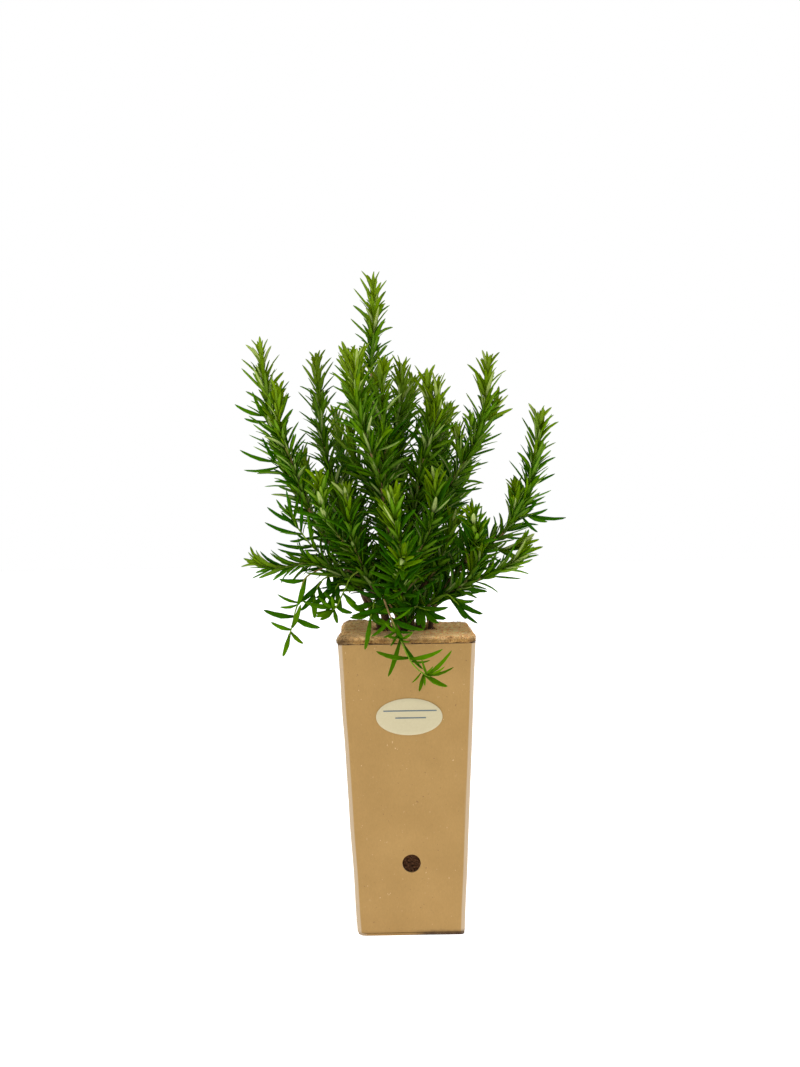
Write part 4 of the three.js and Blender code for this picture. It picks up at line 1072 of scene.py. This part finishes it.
def wood_shape(shoot):
    """Points, faces and colours of one shoot's wood."""
    count = max(int(shoot.wood_end / WOOD_STEP), 4)
    distances = np.linspace(0, shoot.wood_end + 2, count)
    spine = shoot.route.point(distances)
    radii = shoot.radius(distances) * (LISTED_WOOD if shoot.leaves else 1)
    radii[-1] *= WOOD_END
    if shoot.grounded:
        spine = np.vstack([spine[0] - (0, 0, FOOT_SHOWN), spine])
        radii = np.concatenate([radii[:1], radii])
        distances = np.concatenate([[0], distances])
    side = across(shoot.route.direction(shoot.wood_end / 2))[0]
    points, faces = sweep(spine[None], side[None], radii[None], WOOD_SECTION)
    points = points[0]
    for ring, middle in zip(points, spine):
        for corner in ring:
            corner += (corner - middle) * noise.noise(Vector(corner * BARK_SIZE)) * BARK_DEPTH
    from_apex = (shoot.wood_end - distances)[:, None, None]
    young = mix(GREEN_WOOD, TAN_WOOD, smooth(from_apex, *TAN_REACHES)) * np.ones(points.shape)
    old = smooth(from_apex, *OLD_WOOD_REACHES)
    if not shoot.leaves:
        old = np.maximum(old, 1 - smooth(points[:, :, 2:], *OLD_WOOD_HEIGHTS))
    colours = mix(young, OLD_WOOD, old)
    return points.reshape(-1, 3), faces, colours.reshape(-1, 3)


def grow_leaves(shoot, random, rng):
    """The leaves of a shoot, and the short side shoots that grow from it."""
    leaves = []
    if shoot.leaves:
        leaves.extend(listed_leaves(shoot, rng))
        rise = shoot.route.point(shoot.route.length)[2] - shoot.route.point(0)[2]
        if rise > FILLED_RISE:
            leaves.extend(side_leaves(shoot, 0.2, rng))
        return leaves, []
    for leaf in main_leaves(shoot, random, rng):
        leaves.append(leaf)
        full = leaf["root"][2] > CROWN_FROM and leaf["from_apex"] > TIP_BELOW
        leaves.extend(bud_leaf(leaf, rng) for _ in range(2 if full else 1))
        leaves.extend(tuft_leaves(leaf, rng))
    sides = side_shoots(shoot, rng)
    for side in sides:
        leaves.extend(side_leaves(side, rng.uniform(0, 0.5), rng))
    return leaves, sides


def make_stem(owner, name, foot, radius, shoots, materials):
    random = draws(LEAF_SEED + owner)
    rng = np.random.default_rng(LEAF_SEED + owner)
    placed = lay_out(foot, radius, shoots, owner)
    shapes = [wood_shape(shoot) for shoot in placed]
    leaves = []
    for shoot in placed:
        grown, sides = grow_leaves(shoot, random, rng)
        leaves.extend(grown)
        shapes.extend(wood_shape(side) for side in sides)
    wood_faces = sum(len(shape[1]) for shape in shapes)
    leaves = [leaf for leaf in leaves if not meets_pot(leaf)]
    for leaf in leaves:
        leaf["tone"] = np.clip(rng.normal(0, TONE_SPREAD), -1, 1)
        leaf["roll"] = rng.normal(0, LISTED_ROLL if "tip" in leaf else LEAF_ROLL)
    show_pale(leaves)
    for small, look in ((False, (FINE_SECTION, FINE_FELT, FINE_RINGS)),
                        (True, (SMALL_SECTION, SMALL_FELT, SMALL_RINGS))):
        chosen = [leaf for leaf in leaves if leaf["small"] == small]
        if chosen:
            shapes.append(leaf_shapes(chosen, *look))
    starts = np.cumsum([0] + [len(shape[0]) for shape in shapes])
    points = np.vstack([shape[0] for shape in shapes])
    faces = np.vstack([shape[1] + start for shape, start in zip(shapes, starts)])
    stem = make_object("rosemary_" + name, points * MM, faces, *materials)
    of_leaf = (np.arange(len(faces)) >= wood_faces).astype(np.int32)
    stem.data.polygons.foreach_set("material_index", of_leaf)
    set_tint(stem, np.vstack([shape[2] for shape in shapes]))
    finish_piece(stem, "rosemary", "leafy_stem_" + name)


# Pot, label, mat and soil

def finish_piece(piece, slot, *nodes):
    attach(piece, "root")
    if nodes:
        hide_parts(*nodes)


def pot_half(z):
    return mix(POT_BASE, POT_TOP, z / POT_HEIGHT) / 2


def board_ring(inset, z):
    """Points round the pot at a height, with rounded corners."""
    half = pot_half(z) - inset
    corner = max(POT_CORNER - inset, 0.6)
    quarter = [(half, share * (half - corner)) for share in np.linspace(-1, 1, BOARD_STEPS)]
    centre = half - corner
    for angle in np.linspace(0, math.pi / 2, CORNER_STEPS + 1)[1:-1]:
        quarter.append((centre + corner * math.cos(angle), centre + corner * math.sin(angle)))
    ring = []
    for turn in range(4):
        c, s = [(1, 0), (0, 1), (-1, 0), (0, -1)][turn]
        ring += [(c * x - s * y, s * x + c * y, z) for x, y in quarter]
    return np.array(ring, float)


def loft(rings):
    """Points and faces of a closed solid through rings, which turn anticlockwise seen from the far end."""
    count = len(rings[0])
    faces = [list(range(count))[::-1]]
    for low in range(0, (len(rings) - 1) * count, count):
        for i in range(count):
            after = (i + 1) % count
            faces.append([low + i, low + after, low + count + after, low + count + i])
    faces.append([(len(rings) - 1) * count + i for i in range(count)])
    return np.vstack(rings), faces


def roughen(points, size, depth):
    """Moves points out or in from the pot's upright axis by smooth noise."""
    moved = points.copy()
    for point in moved:
        away = Vector((point[0], point[1], 0)).normalized()
        point += np.array(away) * noise.noise(Vector(point / size)) * depth
    return moved


def foot_inset(z):
    """The base flap's edge is slightly inside the sides, with a groove above it."""
    if z < FLAP_TOP:
        return FLAP_INSET
    return GROOVE_INSET if z < GROOVE_TOP else 0


def chamfer_corner(ring):
    """Cuts off the base flap's front left corner."""
    x, y = -pot_half(0), -pot_half(0)
    for point in ring:
        inside = (point[0] - x) + (point[1] - y)
        if inside < CHAMFER:
            point[:2] += (CHAMFER - inside) / 2


def make_pot(material):
    heights = np.concatenate([FOOT_HEIGHTS, np.linspace(8, POT_HEIGHT - 2, 34), [POT_HEIGHT]])
    outside = [roughen(board_ring(foot_inset(z), z), WAVE_SIZE, WAVE_DEPTH) for z in heights]
    for ring in outside[:FLAP_RINGS]:
        chamfer_corner(ring)
    inside = [board_ring(BOARD, z) for z in heights[::-1] if z >= BOARD]
    points, faces = loft(outside + inside)
    pot = make_object("folded_board_pot", points * MM, faces, material)
    cutter = make_drain_cutter()
    cut = pot.modifiers.new("drain", "BOOLEAN")
    cut.operation = "DIFFERENCE"
    cut.solver = "EXACT"
    cut.object = cutter
    apply_modifiers(pot)
    bpy.data.objects.remove(cutter)
    shade_by_angle(pot)
    finish_piece(pot, "kraft_board", "cardboard_pot")


def make_drain_cutter():
    rings = []
    for y in (-POT_TOP / 2, POT_TOP / 2):
        ring = []
        for step in range(DRAIN_STEPS):
            angle = step / DRAIN_STEPS * 2 * math.pi
            c, s = math.cos(angle), math.sin(angle)
            radius = DRAIN_DIAMETER / 2 * (1 + 0.02 * noise.noise(Vector((c, s, y))))
            ring.append((DRAIN_X + radius * s, y, DRAIN_HEIGHT + radius * c))
        rings.append(np.array(ring))
    points, faces = loft(rings)
    return make_object("drain_cutter", points * MM, faces)


def apply_modifiers(made):
    depsgraph = bpy.context.evaluated_depsgraph_get()
    mesh = bpy.data.meshes.new_from_object(made.evaluated_get(depsgraph))
    made.modifiers.clear()
    made.data = mesh


def shade_by_angle(made, angle=35):
    made.data.shade_smooth()
    bpy.context.view_layer.objects.active = made
    made.data.set_sharp_from_angle(angle=math.radians(angle))


def on_front(x, z, lift):
    """A point on the sloping front: across and up from the label's middle, and lifted off the board."""
    slope = math.atan((POT_TOP - POT_BASE) / 2 / POT_HEIGHT)
    return (LABEL_X + x, -pot_half(LABEL_Z) - lift * math.cos(slope) - z * math.sin(slope),
            LABEL_Z + z * math.cos(slope) + lift * math.sin(slope))


def make_label(material):
    """An oval of paper on the sloping front, very slightly raised round its edge."""
    rings = []
    for size, lift in LABEL_RINGS:
        ring = []
        for angle in np.arange(LABEL_STEPS) / LABEL_STEPS * 2 * math.pi:
            x, z = LABEL_WIDTH / 2 * size * math.cos(angle), LABEL_HEIGHT / 2 * size * math.sin(angle)
            curl = LABEL_CURL * noise.noise(Vector((x / 9, z / 9, 0))) if lift > 0.1 else 0
            ring.append(on_front(x, z, LABEL_GAP + lift + curl))
        rings.append(np.array(ring))
    points, faces = loft(rings)
    label = make_object("oval_label", points * MM, faces, material)
    shade_by_angle(label)
    finish_piece(label, "label_paper", "name_label")


def make_label_lines(material):
    """Two plain ruled lines where the label has its writing."""
    points, faces = [], []
    for middle, height, length in LABEL_LINES:
        rings = []
        for lift in (LINE_LIFT - 0.15, LINE_LIFT):
            corners = [(-1, -1), (1, -1), (1, 1), (-1, 1)]
            rings.append([on_front(middle + x * length / 2, height + z * LINE_WIDTH / 2, lift)
                          for x, z in corners])
        line, sides = loft(rings)
        faces += [[corner + len(points) for corner in side] for side in sides]
        points.extend(line)
    lines = make_object("label_lines", np.array(points) * MM, faces, material)
    shade_by_angle(lines)
    finish_piece(lines, "label_paper")


def mat_light_shade_and_stains(points):
    """Painted light on top, painted shade and a redder colour down the sides, and darker or lighter at some
    places by stains, painted shade and painted light.
    """
    # painted light on top, painted shade down the sides
    side = 1 - smooth(points[:, 2:], POT_HEIGHT + 2.5, POT_HEIGHT + 5.2)
    tint = mix(np.array(MAT_TOP_PAINTED_LIGHT), np.array(MAT_SIDE_PAINTED_SHADE), side)
    # stains, with painted shade and painted light at some of the places
    for place, reach, light in MAT_STAINS_LIGHT_AND_SHADE:
        near = np.exp(-np.sum((points - place)**2, axis=1, keepdims=True) / reach**2)
        tint = tint * mix(1, light, near)
    return tint


def make_mat(material):
    """The mat's solid, puffed and roughened."""
    mat = bpy.data.objects.new("coir_mat_top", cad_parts["coir_mat"].data.copy())
    bpy.context.scene.collection.objects.link(mat)
    mat.data.materials.clear()
    mat.data.materials.append(material)
    remesh = mat.modifiers.new("remesh", "REMESH")
    remesh.mode = "VOXEL"
    remesh.voxel_size = MAT_VOXEL * MM
    apply_modifiers(mat)
    soften = mat.modifiers.new("soften", "SMOOTH")
    soften.factor = 0.5
    soften.iterations = MAT_SOFTENING
    apply_modifiers(mat)
    mesh = mat.data
    points = np.empty(len(mesh.vertices) * 3)
    mesh.vertices.foreach_get("co", points)
    points = points.reshape(-1, 3) / MM
    normals = np.array([vertex.normal for vertex in mesh.vertices])
    for point, normal in zip(points, normals):
        lump = sum(height * noise.noise(Vector(point / size)) for size, height in MAT_LUMPS)
        swell = sum(height * math.exp(-np.sum((point - place)**2) / reach**2)
                    for place, reach, height in MAT_SWELLS)
        point += normal * (lump - MAT_SETTLED)
        point += swell * np.array([normal[0], normal[1], max(normal[2], 0)])
        out = max(abs(point[0]), abs(point[1])) - POT_TOP / 2
        low = 1 - smooth(point[2], POT_HEIGHT + 0.5, POT_HEIGHT + 2.6)
        if out > -1.3:
            point[:2] *= 1 - low * (out - MAT_HUG) / (out + POT_TOP / 2)
            point[2] -= MAT_SKIRT * low
        else:
            point[2] = max(point[2], POT_HEIGHT + 0.1)
    mesh.vertices.foreach_set("co", (points * MM).ravel())
    mesh.polygons.foreach_set("use_smooth", [True] * len(mesh.polygons))
    mesh.update()
    set_tint(mat, mat_light_shade_and_stains(points))
    finish_piece(mat, "coir", "coir_mat")
    return mat


def make_strands(mat, material):
    """Loose fibres on the mat."""
    rng = np.random.default_rng(STRAND_SEED)
    mesh = mat.data
    chosen = rng.choice(len(mesh.vertices), STRANDS)
    normals = np.array([mesh.vertices[int(i)].normal for i in chosen])
    roots = np.array([mesh.vertices[int(i)].co for i in chosen]) / MM
    keep = (normals[:, 2] > -0.35) & (roots[:, 2] > POT_HEIGHT + 0.8)
    roots, normals = roots[keep], normals[keep]
    count = len(roots)
    heading = unit(np.cross(normals, unit(rng.normal(size=(count, 3)))))
    sideways = np.cross(normals, heading)
    length = rng.uniform(*STRAND_LENGTH, count)[:, None, None]
    share = np.linspace(-0.5, 0.5, 6)[None, :, None]
    lift = (rng.uniform(*STRAND_LIFT, count) + rng.exponential(STRAND_LOOSE, count))[:, None, None]
    curve = rng.normal(0, STRAND_CURVE, count)[:, None, None]
    slant = rng.normal(0, STRAND_SLANT, count)[:, None, None]
    spines = (roots[:, None, :] + heading[:, None, :] * share * length
              + sideways[:, None, :] * curve * (share**2 - 0.1) * length
              + normals[:, None, :] * (lift * (1 - 5.5 * share**2) + slant * share * length))
    half = rng.uniform(*STRAND_WIDTH, count)[:, None] * np.array([0.5, 1, 1, 1, 1, 0.5])
    points, faces = sweep(spines, normals, half, STRAND_SECTION)
    points = points.reshape(-1, 3)
    strands = make_object("coir_strands", points * MM, faces, material)
    set_tint(strands, mat_light_shade_and_stains(points))
    finish_piece(strands, "coir")


def place_crumbs(rng):
    """Places and sizes of crumbs round the stems, in the drain holes and on one edge of the pot."""
    places, sizes = [], []
    x, y, half_x, half_y = OPENING
    for _ in range(OPENING_CRUMBS):
        angle, out = rng.uniform(0, 2 * math.pi), math.sqrt(rng.uniform(0, 1)) * 1.02
        places.append((x + half_x * out * math.cos(angle), y + half_y * out * math.sin(angle),
                       POT_HEIGHT + rng.uniform(-0.2, 1.4)))
        sizes.append(rng.uniform(*OPENING_SIZES))
    face = pot_half(DRAIN_HEIGHT) - BOARD - 0.3
    for side in (-1, 1):
        for _ in range(DRAIN_CRUMBS):
            angle = rng.uniform(0, 2 * math.pi)
            out = math.sqrt(rng.uniform(0, 1)) * (DRAIN_DIAMETER / 2 - 0.6)
            places.append((DRAIN_X + out * math.cos(angle), side * (face + rng.uniform(-0.4, 0.7)),
                           DRAIN_HEIGHT + out * math.sin(angle)))
            sizes.append(rng.uniform(*DRAIN_SIZES))
    for z in EDGE_CRUMBS:
        half = pot_half(z)
        places.append((-half + 0.2 + rng.uniform(-0.2, 0.3), -half + rng.uniform(2, 5), z))
        sizes.append(rng.uniform(*EDGE_SIZES))
    return places, sizes


def small_ball():
    """Points and triangles of a ball of radius 1."""
    mesh = bpy.data.meshes.new("ball")
    shaper = bmesh.new()
    bmesh.ops.create_icosphere(shaper, subdivisions=1, radius=1)
    shaper.to_mesh(mesh)
    shaper.free()
    points = np.array([vertex.co for vertex in mesh.vertices])
    triangles = np.array([polygon.vertices for polygon in mesh.polygons])
    bpy.data.meshes.remove(mesh)
    return points, triangles


def make_crumbs(material):
    rng = np.random.default_rng(CRUMB_SEED)
    ball, triangles = small_ball()
    points, faces = [], []
    for index, (place, size) in enumerate(zip(*place_crumbs(rng))):
        squash = rng.uniform(0.6, 1.2, 3)
        bumps = rng.uniform(0.75, 1.2, (len(ball), 1))
        points.append(ball * bumps * squash * size + place)
        faces.append(triangles + index * len(ball))
    crumbs = make_object("soil_crumbs", np.vstack(points) * MM, np.vstack(faces), material)
    finish_piece(crumbs, "soil")


def dress_soil(material):
    """The soil keeps its solid, with its own material."""
    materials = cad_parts["growing_medium"].data.materials
    materials.clear()
    materials.append(material)


make_camera()
make_surroundings()
make_lamps()
make_floor()
leaf_and_wood = (wood_material(), leaf_material())
for owner, (name, foot, radius, shoots) in enumerate(STEMS):
    make_stem(owner, name, foot, radius, shoots, leaf_and_wood)
make_pot(board_material())
make_label(label_material())
make_label_lines(ink_material())
coir = coir_material()
make_strands(make_mat(coir), coir)
soil = soil_material()
make_crumbs(soil)
dress_soil(soil)
